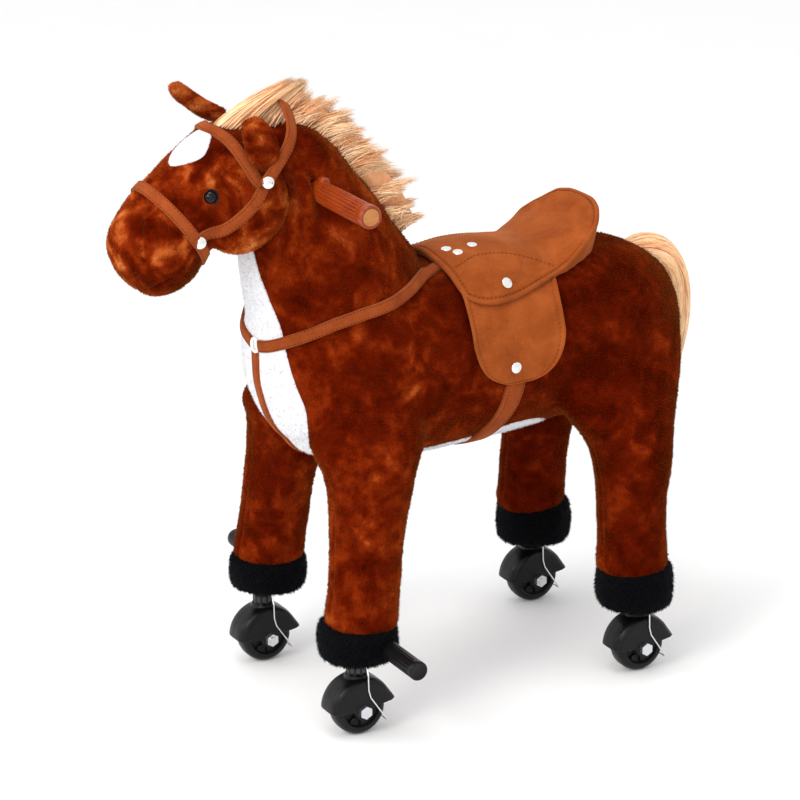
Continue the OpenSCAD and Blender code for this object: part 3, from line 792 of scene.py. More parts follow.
# Grooves on each side of the head: the muzzle's seam, the nostril, the mouth and the eye's socket; each
# has its places on the head (along, across, up), its depth and its width
HEAD_GROOVES = [([(86, 18, 52), (104, 28, 44), (122, 36, 30)], 2.6, 2.0),
                ([(126, 36, 27), (130, 36, 22), (129, 38, 16)], 5.0, 3.6),
                ([(141, 0, -22), (140, 16, -17), (131, 31, -13), (118, 42, -14)], 3.4, 2.2),
                ([(EYE_PLACE[0] + k, 50, EYE_PLACE[2]) for k in (-2, 0, 2)], 2.5, 7)]
NOSE_SEAM = [(152, 0, -2), (148, 0, 20), (136, 0, 40), (112, 0, 52), (88, 0, 56)]


def make_eyes(skin):
    """Two glossy domes, each in a dark ring."""
    domes, rims = [], []
    for side in (-1, 1):
        spot, _ = skin.near(on_head(EYE_PLACE[0], side * 60, EYE_PLACE[2]))
        out = unit(np.array([side * 0.9, -0.42, 0.14]))
        up = unit(UP - out * out[2])
        level = np.cross(up, out)
        domes.append(ball(spot - out * 2.0, (level * EYE_R, up * EYE_R, out * EYE_R * 0.95), 24, 40))
        rims.append(tube([spot - out * 0.2 + (level * math.cos(t) + up * math.sin(t)) * (EYE_R + 0.4)
                          for t in np.linspace(0, TAU, 48, endpoint=False)], 1.1, loop=True))
    eyes = new_piece("eye_domes", *merged(domes), "eye_plastic")
    lids = new_piece("eye_rims", *merged(rims), "black_plastic")
    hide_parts("eyes")
    return [(eyes, "eye_plastic"), (lids, "black_plastic")]


# An ear: points of its middle line, half widths, half thicknesses, and the way its width lies
NEAR_EAR = ([(40, -215, 675), (51, -214, 667), (59, -212, 652), (62, -208, 638), (59, -204, 626)],
            [8, 14.5, 17.5, 14.5, 5], [5, 8, 9, 8, 3], (0.1, 1, 0.12))
FAR_EAR = ([(-37, -208, 660), (-43, -226, 669), (-46, -241, 680), (-46, -253, 690), (-45, -261, 700)],
           [10, 11, 10.5, 10, 6.5], [7.5, 8.5, 8.5, 8.5, 6], (-0.64, -0.12, -0.7))


def make_ear(name, line, widths, thicknesses, side_way, bowl):
    """A leaf of plush, hollowed on one face; the lining lies in the hollow."""
    count = 26
    line, widths, thick = refine(line, count), refine(widths, count), refine(thicknesses, count)
    ahead = unit(np.gradient(line, axis=0))
    rings, inner = [], []
    for p, t, w, h in zip(line, ahead, widths, thick):
        side = unit(np.asarray(side_way) - t * np.dot(side_way, t))
        out = np.cross(side, t)
        angle = TAU * np.arange(28) / 28
        u, v = np.cos(angle), np.sin(angle)
        dip = bowl * h * (1 - u ** 2)
        rings.append(p + np.outer(w * u, side) + np.outer(h * v - np.where(v > 0, dip, -0.35 * dip), out))
        u = np.linspace(-0.8, 0.8, 15)
        floor = h * np.sqrt(1 - u ** 2) - bowl * h * (1 - u ** 2)
        inner.append(p + np.outer(w * u, side) + np.outer(floor, out))
    ear = new_piece(name, *loft(rings), "plush_brown")
    apply(ear, "SUBSURF", levels=1)
    stuffed(ear, 1.2)
    inner = np.array(inner[3:-3])
    lift = np.cross(np.gradient(inner, axis=0), np.gradient(inner, axis=1))
    out = unit(lift) * (1 if np.dot(lift[10, 7], np.cross(side_way, ahead[12])) > 0 else -1)
    lining = new_piece(name + "_lining", *slab(inner + 1.0 * out, inner - 1.0 * out), "ear_lining")
    return add_tone(ear, True), lining


def make_ears():
    near, near_lining = make_ear("ear_left", *NEAR_EAR, 1.1)
    far, far_lining = make_ear("ear_right", *FAR_EAR, 0.45)
    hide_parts("ears")
    return [(near, "plush_brown"), (far, "plush_brown"), (near_lining, "plush_brown"),
            (far_lining, "plush_brown")]


def split(rows):
    """Rows of (point, normal) as a grid of points and a grid of normals."""
    grid = np.array(rows)
    return grid[:, :, 0], grid[:, :, 1]


# ---- white panels ----

PATCH_EDGE, PATCH_DEPTH = 0.2, 1.2


def patch(name, places, lift):
    """A white panel sewn on the skin: thin at its edge, fuller inside, over grids of points and normals."""
    spots, normals = places
    rows, columns = spots.shape[:2]
    v = np.abs(np.linspace(-1, 1, rows))[:, None]
    u = np.abs(np.linspace(-1, 1, columns))[None, :]
    full = np.minimum(1, 6 * (1 - v)) * np.minimum(1, 6 * (1 - u))
    height = PATCH_EDGE + (lift - PATCH_EDGE) * np.sqrt(np.clip(full, 0, 1))
    top, bottom = spots + height[..., None] * normals, spots - PATCH_DEPTH * normals
    return new_piece(name, *slab(top, bottom), "plush_white")


# The chest panel's middle line: along, height, way out (along, up), half width
CHEST_ROWS = [(-207, 545, -1, 0.1, 8), (-205, 533, -1, 0, 15), (-202, 500, -1, 0, 24),
              (-197, 470, -1, 0, 32), (-192, 440, -1, 0, 41), (-189, 415, -1, -0.1, 51),
              (-183, 385, -1, -0.25, 61), (-175, 352, -0.9, -0.5, 68), (-158, 322, -0.8, -0.8, 64),
              (-130, 295, -0.5, -1, 54), (-95, 280, -0.2, -1, 44), (-62, 276, 0, -1, 40)]
# The belly panel's rows: along, half width
BELLY_ROWS = [(-64, 40), (-50, 50), (-25, 58), (5, 63), (35, 68), (65, 74), (92, 78), (114, 76),
              (132, 64), (146, 42), (153, 18)]


def chest_grid(skin):
    """The panel from a point under the throat to between the front legs, found from outside."""
    rows = []
    for y, z, out_y, out_z, half in refine(CHEST_ROWS, 90):
        out = unit([0, out_y, out_z])
        rows.append([skin.hit(np.array([0, y, z]) + (u * half, 0, 0) + 60 * out, -out)
                     for u in np.linspace(-1, 1, 41)])
    return split(rows)


def belly_grid(skin):
    """The panel round the underside of the barrel, found from all round below."""
    return split([[skin.hit((0, y, 378) + 200 * np.array([math.sin(a), 0, -math.cos(a)]),
                            (-math.sin(a), 0, math.cos(a)))
                   for a in np.linspace(-1, 1, 41) * math.asin(min(0.97, half / 108))]
                  for y, half in refine(BELLY_ROWS, 90)])


def blaze_grid(skin):
    """A rounded diamond on the forehead."""
    across, along = BLAZE_HALF
    rows = []
    for v in np.linspace(-1, 1, 41):
        half = across * (1 - abs(v) ** 1.5) ** (1 / 1.5) + 0.4
        rows.append([skin.hit(on_head(BLAZE_CENTRE + v * along, BLAZE_ASIDE + u * half, 110), -HEAD_UP)
                     for u in np.linspace(-1, 1, 31)])
    return split(rows)


# ---- straps ----

# A strap's section: place across it from -1 to 1, and its height as a share of its thickness
STRAP_SECTION = [(-1, 0.1), (-0.98, 0.75), (-0.88, 1.02), (-0.77, 0.86), (-0.62, 1.0), (0, 1.08),
                 (0.62, 1.0), (0.77, 0.86), (0.88, 1.02), (0.98, 0.75), (1, 0.1)]
STRAP_W, STRAP_T = 12.5, 2.3


def lay_strap(path, skin, width=STRAP_W, thick=STRAP_T, loop=False, lift=0.0, centre=None):
    """A strap along a path: its mesh, and the two lines of its stitching with their ups.

    It lies on a skin, lifted by the pile or panel under it; with a centre it stands free instead.
    """
    if centre is None:
        spots, ups = skin.lay(path)
    else:
        spots, ups = np.array(path), unit(np.asarray(path) - centre)
    for _ in range(4):
        if loop:
            ups = unit(ups + np.roll(ups, 1, 0) + np.roll(ups, -1, 0))
            spots = (2 * spots + np.roll(spots, 1, 0) + np.roll(spots, -1, 0)) / 4
        else:
            ups[1:-1] = unit(ups[1:-1] + ups[2:] + ups[:-2])
            spots[1:-1] = (2 * spots[1:-1] + spots[2:] + spots[:-2]) / 4
    ahead = unit(np.roll(spots, -1, 0) - np.roll(spots, 1, 0)) if loop else unit(np.gradient(spots, axis=0))
    sides = unit(np.cross(ahead, ups))
    rings, seams = [], [[], []]
    for p, side, up in zip(spots, sides, ups):
        flat = [p + side * u * width / 2 for u, _ in STRAP_SECTION]
        feet = flat
        if centre is None:
            feet = [f + up * (lift + np.clip((skin.near(f)[0] - f) @ up, -3.5, 3.0)) for f in flat]
        rings.append([f + up * h * thick for f, (_, h) in zip(feet, STRAP_SECTION)]
                     + [f - up * (0.7 + lift) for f in feet[::-2]])
        for seam, k in zip(seams, (3, -4)):
            seam.append(feet[k] + up * (STRAP_SECTION[3][1] * thick + 0.1))
    return loft(rings, loop), [(np.array(s), ups) for s in seams]


THREAD_R = 0.55


def stitches(lines, length=3.0, gap=1.0):
    """Small closed beads of thread along lines, each line with its ups."""
    verts, faces = [], []
    shape = np.array([(-1, 0, 0), (0, -1, 0), (0, 0, 1), (0, 1, 0), (0, 0, -1), (1, 0, 0)])
    sides = [(0, 2, 1), (0, 3, 2), (0, 4, 3), (0, 1, 4), (5, 1, 2), (5, 2, 3), (5, 3, 4), (5, 4, 1)]
    for line, ups in lines:
        run = np.concatenate([[0], np.cumsum(np.linalg.norm(np.diff(line, axis=0), axis=1))])
        for at in np.arange(gap, run[-1] - length, length + gap):
            a, b, up = (np.array([np.interp(s, run, source[:, k]) for k in range(3)])
                        for s, source in ((at, line), (at + length, line), (at, ups)))
            ahead = unit(b - a)
            side = unit(np.cross(ahead, up))
            axes = [ahead * length / 2, side * THREAD_R * 1.3, np.cross(side, ahead) * THREAD_R]
            faces += [tuple(i + 6 * len(verts) for i in f) for f in sides]
            verts.append((a + b) / 2 + shape @ np.stack(axes))
    return np.concatenate(verts), np.array(faces)


def stud(centre, out, radius=5.6):
    """A pressed metal stud: a thin rim and a low dome."""
    out = unit(out)
    side = unit(np.cross(out, ALONG if abs(out[1]) < 0.9 else UP))
    profile = [(0.05, -1.6), (1.0, -1.6), (1.0, 0.2), (0.96, 0.5), (0.88, 0.55), (0.82, 0.4), (0.72, 0.8),
               (0.5, 1.2), (0.25, 1.45), (0.05, 1.5)]
    return loft([ring_about(centre + out * h, side, np.cross(out, side), r * radius, r * radius, 36)
                 for r, h in profile])


UPPER_RIVET, LOWER_RIVET = (0, -210, 615), (0, -281, 557)
NOSEBAND_AT = 76
# The left half of each strap over the head, from its top to the rivet
CROWN_LINE = [(0, -163, 681), (22, -165, 677), (44, -170, 663), (56, -179, 648), (62, -193, 633),
              (66, -205, 621), (67, -213, 612)]
BROW_LINE = [(0, -249, 668), (15, -245, 665), (35, -236, 654), (50, -229, 640), (62, -219, 621),
             (66, -211, 612)]


def make_bridle(head_skin):
    """Noseband, crown strap, browband and cheek straps, with a stud at each joint."""
    straps, seams, studs = [], [], []

    def add(path, skin, **settings):
        part, lines = lay_strap(path, skin, **settings)
        seams.extend(lines)
        return part

    def both_sides(line):
        return even_line([(-x, y, z) for x, y, z in line[:0:-1]] + line, 3)

    nose = head_skin.girdle(on_head(NOSEBAND_AT, 0, 8), ACROSS, HEAD_UP, 0, 360 * 119 / 120, 120)
    noseband = add(nose, head_skin, loop=True, lift=0.8)
    straps.append(add(both_sides(CROWN_LINE), None, thick=STRAP_T + 0.4, centre=np.array([0, -205, 612.0])))
    straps.append(add(both_sides(BROW_LINE), head_skin, thick=STRAP_T + 0.4, lift=1.5))
    for side in (-1, 1):
        cheek = [(side * 66, -207, 619), (side * 66, -212, 608), (side * 64, -224, 592),
                 (side * 62, -248, 573), (side * 60, -270, 562), (side * 58, -287, 556)]
        straps.append(add(even_line(cheek, 3), head_skin, thick=STRAP_T + 0.2, lift=1.0))
    band, headstall = (new_piece(name, *part, "strap_suede")
                       for name, part in (("noseband_strap", noseband), ("headstall_straps", merged(straps))))
    outside = Skin(band, headstall)
    for side in (-1, 1):
        for rivet in (UPPER_RIVET, LOWER_RIVET):
            spot, _ = outside.hit(np.array(rivet) + (side * 140, 0, 0), (-side, 0, 0))
            studs.append(stud(spot + (side * 0.4, 0, 0), (side, -0.25, 0.1), 6.4))
    pieces = [(band, "strap_suede"), (headstall, "strap_suede"),
              (new_piece("bridle_stitching", *stitches(seams), "thread"), "strap_suede"),
              (new_piece("bridle_studs", *merged(studs), "stud_metal"), "stud_metal")]
    for (piece, _), node in zip(pieces, ("noseband", "headstall", None, "bridle_rivets")):
        if node:
            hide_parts(node)
    return pieces


PANEL_LIFT = 2.4
BREAST_SIDE = [(28, 17, 484), (51, -33, 476), (70, -84, 463), (78, -135, 455), (60, -168, 438),
               (30, -186, 424), (8, -191, 418)]
BREAST_DOWN = [(0, -190, 410), (0, -184, 390), (0, -177, 358), (0, -163, 328), (0, -138, 300),
               (0, -105, 281), (0, -60, 276), (0, 0, 275), (0, 36, 276)]
RING_R, RING_WIRE_R, RING_OUT = 7.2, 1.9, 3.6
GIRTH_W, GIRTH_T = 22, 2.6
# The girth's middle line: height, along
GIRTH_LINE = [(271, 40), (303, 47), (319, 55), (341, 62), (361, 65.5), (390, 68)]


def make_harness(skin):
    """The breast straps, the strap between the legs, and the girth."""
    straps, seams = [], []
    for line in (BREAST_SIDE, [(-x, y, z) for x, y, z in BREAST_SIDE], BREAST_DOWN):
        part, lines = lay_strap(even_line(line, 3), skin, STRAP_W + 0.5, STRAP_T + 0.3, lift=PANEL_LIFT)
        straps.append(part)
        seams += lines
    heights, places = zip(*GIRTH_LINE)
    round_body = []
    for angle in np.radians(np.linspace(3, 177, 106)):
        ray = np.array([math.cos(angle), 0, -math.sin(angle)])
        z = skin.hit(np.array([0, 60, 378]) + 200 * ray, -ray)[0][2]
        start = np.array([0, np.interp(z, heights, places), 378]) + 200 * ray
        round_body.append(skin.hit(start, -ray)[0])
    girth, lines = lay_strap(np.array(round_body), skin, GIRTH_W, GIRTH_T, lift=PANEL_LIFT)
    breast = new_piece("breast_straps", *merged(straps), "strap_suede")
    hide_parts("breast_strap")
    under = new_piece("girth_strap", *girth, "strap_suede")
    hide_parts("girth")
    thread = new_piece("harness_stitching", *stitches(seams + lines), "thread")
    chest_front = skin.hit((0, -260, 417), ALONG)[0]
    circle = [chest_front + (RING_R * math.cos(t), -RING_OUT, RING_R * math.sin(t))
              for t in np.linspace(0, TAU, 48, endpoint=False)]
    ring = new_piece("breast_ring_loop", *tube(circle, RING_WIRE_R, loop=True, sides=14), "ring_plastic")
    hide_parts("breast_ring")
    return [(breast, "strap_suede"), (under, "strap_suede"), (thread, "strap_suede"), (ring, "ring_plastic")]


# ---- saddle ----

# The saddle's upper surface: rows from the front edge to the rim behind, each from the middle outwards
SADDLE_NET = [
    [(0, 10, 493), (22, 10, 490.5), (46, 12, 484), (66, 14, 473), (83, 16, 461)],
    [(0, 34, 494), (25, 34, 491), (51, 34, 483.5), (74, 34, 470), (92, 34, 454)],
    [(0, 58, 494.5), (27, 58, 491.5), (54, 58, 484), (77, 57, 470), (95, 56, 453)],
    [(0, 84, 494), (26, 84, 491), (52, 84, 484), (74, 84, 471), (92, 82, 456)],
    [(0, 110, 491), (24, 110, 489.5), (47, 111, 483), (68, 112, 473), (85, 114, 464)],
    [(0, 134, 488), (22, 135, 487), (43, 137, 483), (62, 139, 477), (77, 142, 471)],
    [(0, 160, 495), (23, 160, 495), (45, 160, 492), (64, 158, 486), (77, 155, 479)],
    [(0, 188, 509), (24, 187, 508), (45, 184, 504), (63, 177, 498), (76, 166, 490)],
    [(0, 213, 534), (25, 211, 531), (46, 206, 524), (62, 196, 513), (73, 178, 500)]]
PIPING_R = 2.7
SWELL_CAP, SWELL_PRESSURE, SWELL_STEPS = 3.0, 4, 20
SADDLE_ARC = [(50, 21, 486), (40, 54, 490), (43, 86, 489), (53, 111, 485), (70, 138, 474)]
POMMEL_STUDS = [(13, 32, 494), (26, 39, 492), (17, 62, 494)]
SKIRT_STUD, FLAP_STUD = (78, 69, 465), (120, 64, 382)
# The flap's rows: height, front edge, back edge
FLAP_ROWS = [(470, 16, 136), (455, 14, 132), (438, 13, 128), (420, 12.5, 127.5), (409, 13, 127),
             (395, 17, 123), (385, 22, 118), (377, 29, 111), (371, 38, 102), (367, 48, 92),
             (365, 57, 83)]


def saddle_top(rows, columns):
    net = np.array(SADDLE_NET, float)
    whole = np.concatenate([net[:, :0:-1] * (-1, 1, 1), net], axis=1)
    down = catmull(whole, np.linspace(0, len(net) - 1, rows))
    return catmull(down.swapaxes(0, 1), np.linspace(0, whole.shape[1] - 1, columns)).swapaxes(0, 1)


def puff(piece, skin):
    """Swells a stuffed piece a little, as cloth under pressure that is held where it rests on the skin."""
    start = points_of(piece)
    foot = np.array([np.linalg.norm(skin.near(p)[0] - p) for p in start])
    held = piece.vertex_groups.new(name="held")
    held.add([int(i) for i in np.where(foot < 3)[0]], 1.0, "REPLACE")
    cloth = piece.modifiers.new("Cloth", "CLOTH")
    cloth.settings.use_pressure = True
    cloth.settings.uniform_pressure_force = SWELL_PRESSURE
    cloth.settings.effector_weights.gravity = 0
    cloth.settings.vertex_group_mass = "held"
    cloth.point_cache.frame_start, cloth.point_cache.frame_end = 1, SWELL_STEPS
    for step in range(1, SWELL_STEPS + 1):
        bpy.context.scene.frame_set(step)
    graph = bpy.context.evaluated_depsgraph_get()
    swollen = piece.evaluated_get(graph).to_mesh()
    end = np.empty(len(start) * 3)
    swollen.vertices.foreach_get("co", end)
    moved = end.reshape(-1, 3) / MM - start
    piece.evaluated_get(graph).to_mesh_clear()
    piece.modifiers.clear()
    piece.vertex_groups.clear()
    bpy.context.scene.frame_set(1)
    length = np.linalg.norm(moved, axis=1, keepdims=True)
    set_points(piece, start + moved * np.minimum(1, SWELL_CAP / np.maximum(length, 1e-6)))


def make_saddle(skin):
    """Seat, skirt and dished cantle in one padded piece, with piping round it, two flaps and studs."""
    top = saddle_top(90, 81)
    edge = np.concatenate([top[0, :-1], top[:-1, -1], top[-1, :0:-1], top[:0:-1, 0]])
    bottom, _ = skin.lay(top.reshape(-1, 3), 1.0)
    saddle = new_piece("saddle_pad", *slab(top, bottom.reshape(top.shape)), "saddle_suede")
    voxel_union(saddle, 3, 6)
    puff(saddle, skin)
    apply(saddle, "SMOOTH", factor=0.5, iterations=4)
    apply(saddle, "SUBSURF", levels=1)
    pad = Skin(saddle)
    inset = inward(edge, top, 6.5)
    seam, seam_ups = pad.lay(inset)
    arcs = [pad.lay(even_line([(side * x, y, z) for x, y, z in SADDLE_ARC], 2)) for side in (-1, 1)]
    crease(saddle, seam, 1.5, 1.8)
    for line, _ in arcs:
        crease(saddle, line, 1.0, 1.6)
    push(saddle, grain(points_of(saddle), 24) - 0.5)
    border = Skin(saddle).lay(even_line(np.vstack([edge, edge[:1]]), 2.5)[:-1])[0]
    for _ in range(12):
        border = (2 * border + np.roll(border, 1, 0) + np.roll(border, -1, 0)) / 4
    piping = new_piece("saddle_piping", *tube(border, PIPING_R, loop=True, sides=12), "saddle_suede")
    flaps, flap_lines = [], []
    for side, word in SIDES:
        flap, seam_line = make_flap("saddle_flap_" + word, skin, side)
        flaps.append(flap)
        flap_lines.append(seam_line)
    thread = new_piece("saddle_stitching", *stitches([(seam + 0.2 * seam_ups, seam_ups)]
                       + [(line + 0.2 * ups, ups) for line, ups in arcs] + flap_lines, 2.6, 2.2), "thread")
    outside = Skin(saddle, *flaps)
    studs = []
    for x, y, z in POMMEL_STUDS:
        studs.append(stud(*outside.hit((x, y, z + 30), -UP), radius=5.6))
    for side in (-1, 1):
        for (x, y, z), aim in ((SKIRT_STUD, (-side * 0.6, 0, -0.8)), (FLAP_STUD, (-side, 0, 0))):
            start = np.array([side * x, y, z]) - 40 * unit(aim)
            studs.append(stud(*outside.hit(start, aim), radius=6.2))
    metal = new_piece("saddle_stud_caps", *merged(studs), "stud_metal")
    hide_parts("saddle_seat", "saddle_cantle")
    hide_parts("saddle_flaps")
    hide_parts("saddle_studs")
    return [(saddle, "saddle_suede"), (piping, "saddle_suede"), (thread, "saddle_suede"),
            (metal, "stud_metal")] + [(flap, "saddle_suede") for flap in flaps]


def inward(edge, grid, distance):
    """The edge of a grid moved in along the grid's own surface."""
    flat = grid.reshape(-1, 3)
    cells = (grid.shape[0] - 1) * (grid.shape[1] - 1)
    tree = BVHTree.FromPolygons(flat.tolist(), slab(grid, grid)[1][:cells].tolist())
    middle = grid[grid.shape[0] // 2, grid.shape[1] // 2]
    ahead = unit(np.roll(edge, -1, 0) - np.roll(edge, 1, 0))
    line = []
    for p, t in zip(edge, ahead):
        normal = np.array(tree.find_nearest(Vector(p))[1])
        side = unit(np.cross(normal, t))
        if side @ (middle - p) < 0:
            side = -side
        line.append(np.array(tree.find_nearest(Vector(p + side * distance))[0]))
    return even_line(line + line[:1], 2.5)


def make_flap(name, skin, side):
    """A flap of thin suede that hangs on the barrel, its edge folded under and stitched."""
    rows, columns = 70, 60
    spots, normals = split([[skin.hit((side * 220, y, z), (-side, 0, 0))
                             for y in np.linspace(front, back, columns)]
                            for z, front, back in refine(FLAP_ROWS, rows)])
    normals = unit(normals)
    v, u = np.meshgrid(np.linspace(-1, 1, rows), np.linspace(-1, 1, columns), indexing="ij")
    margin = np.minimum((1 - np.abs(u)) * 60, (1 - v) * 52)
    lift = 5.4 + 1.6 * np.exp(-((margin - 2.0) / 2.0) ** 2) - 1.2 * np.exp(-((margin - 6.0) / 1.5) ** 2)
    lift = lift + 1.2 * (grain(spots, 30) - 0.5) + 1.5 * np.clip(1 - margin / 14, 0, 1)
    top = spots + lift[..., None] * normals
    flap = new_piece(name, *slab(top, top - 3.0 * normals), "saddle_suede")
    apply(flap, "SUBSURF", levels=1)
    down = [(k, 3) for k in range(4, rows - 4)]
    across = [(rows - 4, j) for j in range(4, columns - 4)]
    back_up = [(k, columns - 4) for k in range(rows - 5, 3, -1)]
    k, j = np.array(down + across + back_up).T
    return flap, (top[k, j] + 0.3 * normals[k, j], normals[k, j])


# ---- hair and pile ----

def strand_mesh(lines, width):
    """Closed three-sided hairs that taper to a point; lines is hairs by points by 3."""
    hairs, steps = lines.shape[:2]
    ahead = unit(np.gradient(lines, axis=1))
    side = unit(np.cross(ahead, random.normal(size=(hairs, 1, 3)) * 0.5 + ALONG))
    up = np.cross(side, ahead)
    taper = (np.asarray(width).reshape(-1, 1) * (1 - (np.arange(steps) / (steps - 1)) ** 2))[..., None]
    rings = np.stack([lines + taper * (side * math.cos(a) + up * math.sin(a))
                      for a in (0, TAU / 3, 2 * TAU / 3)], axis=2)[:, :-1]
    verts = np.concatenate([rings.reshape(hairs, -1, 3), lines[:, -1:]], axis=1)
    faces = [(0, 2, 1)]
    for i in range(steps - 2):
        for k in range(3):
            a, b, c, d = 3 * i + k, 3 * i + (k + 1) % 3, 3 * i + 3 + (k + 1) % 3, 3 * i + 3 + k
            faces += [(a, b, c), (a, c, d)]
    last, tip = 3 * (steps - 2), 3 * (steps - 1)
    faces += [(last + k, last + (k + 1) % 3, tip) for k in range(3)]
    triangles = (np.array(faces)[None] + (np.arange(hairs) * verts.shape[1])[:, None, None]).reshape(-1, 3)
    return verts.reshape(-1, 3), triangles


HAIR_STEPS = 7


def bend_lines(roots, leaves, tips):
    """Curved lines from roots to tips that leave along the given points."""
    t = np.linspace(0, 1, HAIR_STEPS)[None, :, None]
    a, b, c = (np.asarray(p)[:, None] for p in (roots, leaves, tips))
    return (1 - t) ** 2 * a + 2 * t * (1 - t) * b + t ** 2 * c


def hair_pieces(name, lines, width, tones, node=None):
    """Hairs dealt out to plain tones, one piece to a tone."""
    rank = tones.argsort().argsort() / len(tones)
    choice = np.digitize(rank, (0.18, 0.5, 0.82))
    pieces = []
    for k, material in enumerate(BLOND):
        mine = choice == k
        pieces.append(triangle_piece(f"{name}_{material[5:]}", *strand_mesh(lines[mine], width[mine]),
                                     material))
    if node:
        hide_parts(node)
    return pieces


# The mane's roots along the crest and its tips behind them: along, height
MANE_ROOTS = [(-160, 656), (-145, 653), (-117, 643), (-100, 622), (-77, 594), (-52, 561), (-27, 525)]
MANE_TIPS = [(-126, 684), (-105, 680), (-76, 656), (-56, 632), (-26, 602), (3, 567), (15, 534)]
TAIL_LINE = [(268, 454), (292, 453), (313, 442), (327, 420), (332, 392), (332, 360), (328, 325),
             (323, 290), (318, 262), (314, 240)]
TAIL_HALF = [(10, 12), (18, 17), (23, 21), (25, 21), (25, 21), (24, 19), (20, 16), (16, 13), (11, 9),
             (5, 5)]
MANE_HAIRS, FORELOCK_HAIRS, TAIL_HAIRS = 9000, 3600, 6500


def lock_hairs(roots, tips, owner, bow, spread, least=0.55):
    """Hairs whose tips draw together, each towards the tip of the lock that owns it."""
    n = len(owner)
    ends = tips[owner] + random.normal(size=(n, 3)) * spread
    short = random.uniform(least, 1.0, (n, 1))
    ends = roots + (ends - roots) * short
    leaves = 0.5 * (roots + ends) + bow[owner] * random.uniform(0.5, 1.3, (n, 1))
    return bend_lines(roots, leaves, ends)


def make_mane():
    """A brush of hair along the crest, its ragged locks swept back, over a solid core."""
    rows = 40
    roots, tips = refine(MANE_ROOTS, rows), refine(MANE_TIPS, rows)
    halves = refine([(6,), (11,), (13,), (13,), (13,), (12,), (6,)], rows)[:, 0]
    core = []
    for (root_y, root_z), (tip_y, tip_z), half in zip(roots, tips, halves):
        base, way = np.array([0, root_y, root_z - 3]), np.array([0, tip_y - root_y, tip_z - root_z])
        t = TAU * np.arange(16) / 16
        rise = (0.5 - 0.5 * np.cos(t))[:, None]
        core.append(base + way * 0.66 * rise + np.outer(half * np.sin(t), ACROSS) * (1 - 0.5 * rise))
    body = new_piece("mane_core", *loft(core), "mane_fur")
    apply(body, "SUBSURF", levels=1)
    locks = 84
    at, x = np.sort(random.uniform(0, 6, locks)), random.uniform(-13, 13, locks)
    base, tip = catmull(MANE_ROOTS, at), catmull(MANE_TIPS, at)
    reach = random.uniform(0.7, 1.12, (locks, 1)) * np.where(np.abs(x) > 8, 0.86, 1)[:, None]
    foot = np.stack([x, base[:, 0], base[:, 1] - np.abs(x) * 0.3], 1)
    way = np.stack([x * 0.7, tip[:, 0] - base[:, 0], tip[:, 1] - base[:, 1]], 1)
    ends = foot + way * reach + random.normal(size=(locks, 3)) * (2.5, 3.0, 3.0)
    bow = np.stack([x * 0.35, -6 + 0 * x, 7 + 0 * x], 1) * random.uniform(0.5, 1.3, (locks, 1))
    owner = random.integers(0, locks, MANE_HAIRS)
    starts = foot[owner] + random.normal(size=(MANE_HAIRS, 3)) * (3.2, 5.5, 4.0)
    lines = lock_hairs(starts, ends, owner, bow, 2.2)
    tones = 0.5 * random.uniform(size=MANE_HAIRS) + 0.45 * random.uniform(size=locks)[owner]
    width = random.uniform(0.45, 0.8, MANE_HAIRS)
    return [body] + hair_pieces("mane", lines, width, tones, "mane") + make_forelock()


# The forelock's hairs: where they leave the head and the one broad leaf of tips they make
FORELOCK_ROOTS = [(-236, 657), (-215, 666), (-190, 668), (-168, 660)]
FORELOCK_TIPS = [(-182, 697), (-154, 702), (-134, 702), (-128, 699)]


def make_forelock():
    """A broad lock from between the ears, brushed back to a point over the crown strap."""
    locks, n = 30, FORELOCK_HAIRS
    at = random.uniform(0, 3, locks)
    x = random.normal(size=locks) * 6
    base, tip = catmull(FORELOCK_ROOTS, at), catmull(FORELOCK_TIPS, np.clip(at + 0.8, 0, 3))
    foot = np.stack([x, base[:, 0], base[:, 1] - np.abs(x) * 0.4], 1)
    ends = np.stack([x * 0.5, tip[:, 0], tip[:, 1] - 7 * random.uniform(size=locks)], 1)
    bow = np.stack([x * 0.4, -8 + 0 * x, 7 + 0 * x], 1)
    owner = random.integers(0, locks, n)
    starts = foot[owner] + random.normal(size=(n, 3)) * (3, 5, 2)
    lines = lock_hairs(starts, ends, owner, bow, 1.8, 0.7)
    tones = 0.7 * random.uniform(size=n) + 0.3 * random.uniform(size=locks)[owner]
    return hair_pieces("forelock", lines, random.uniform(0.45, 0.75, n), tones)


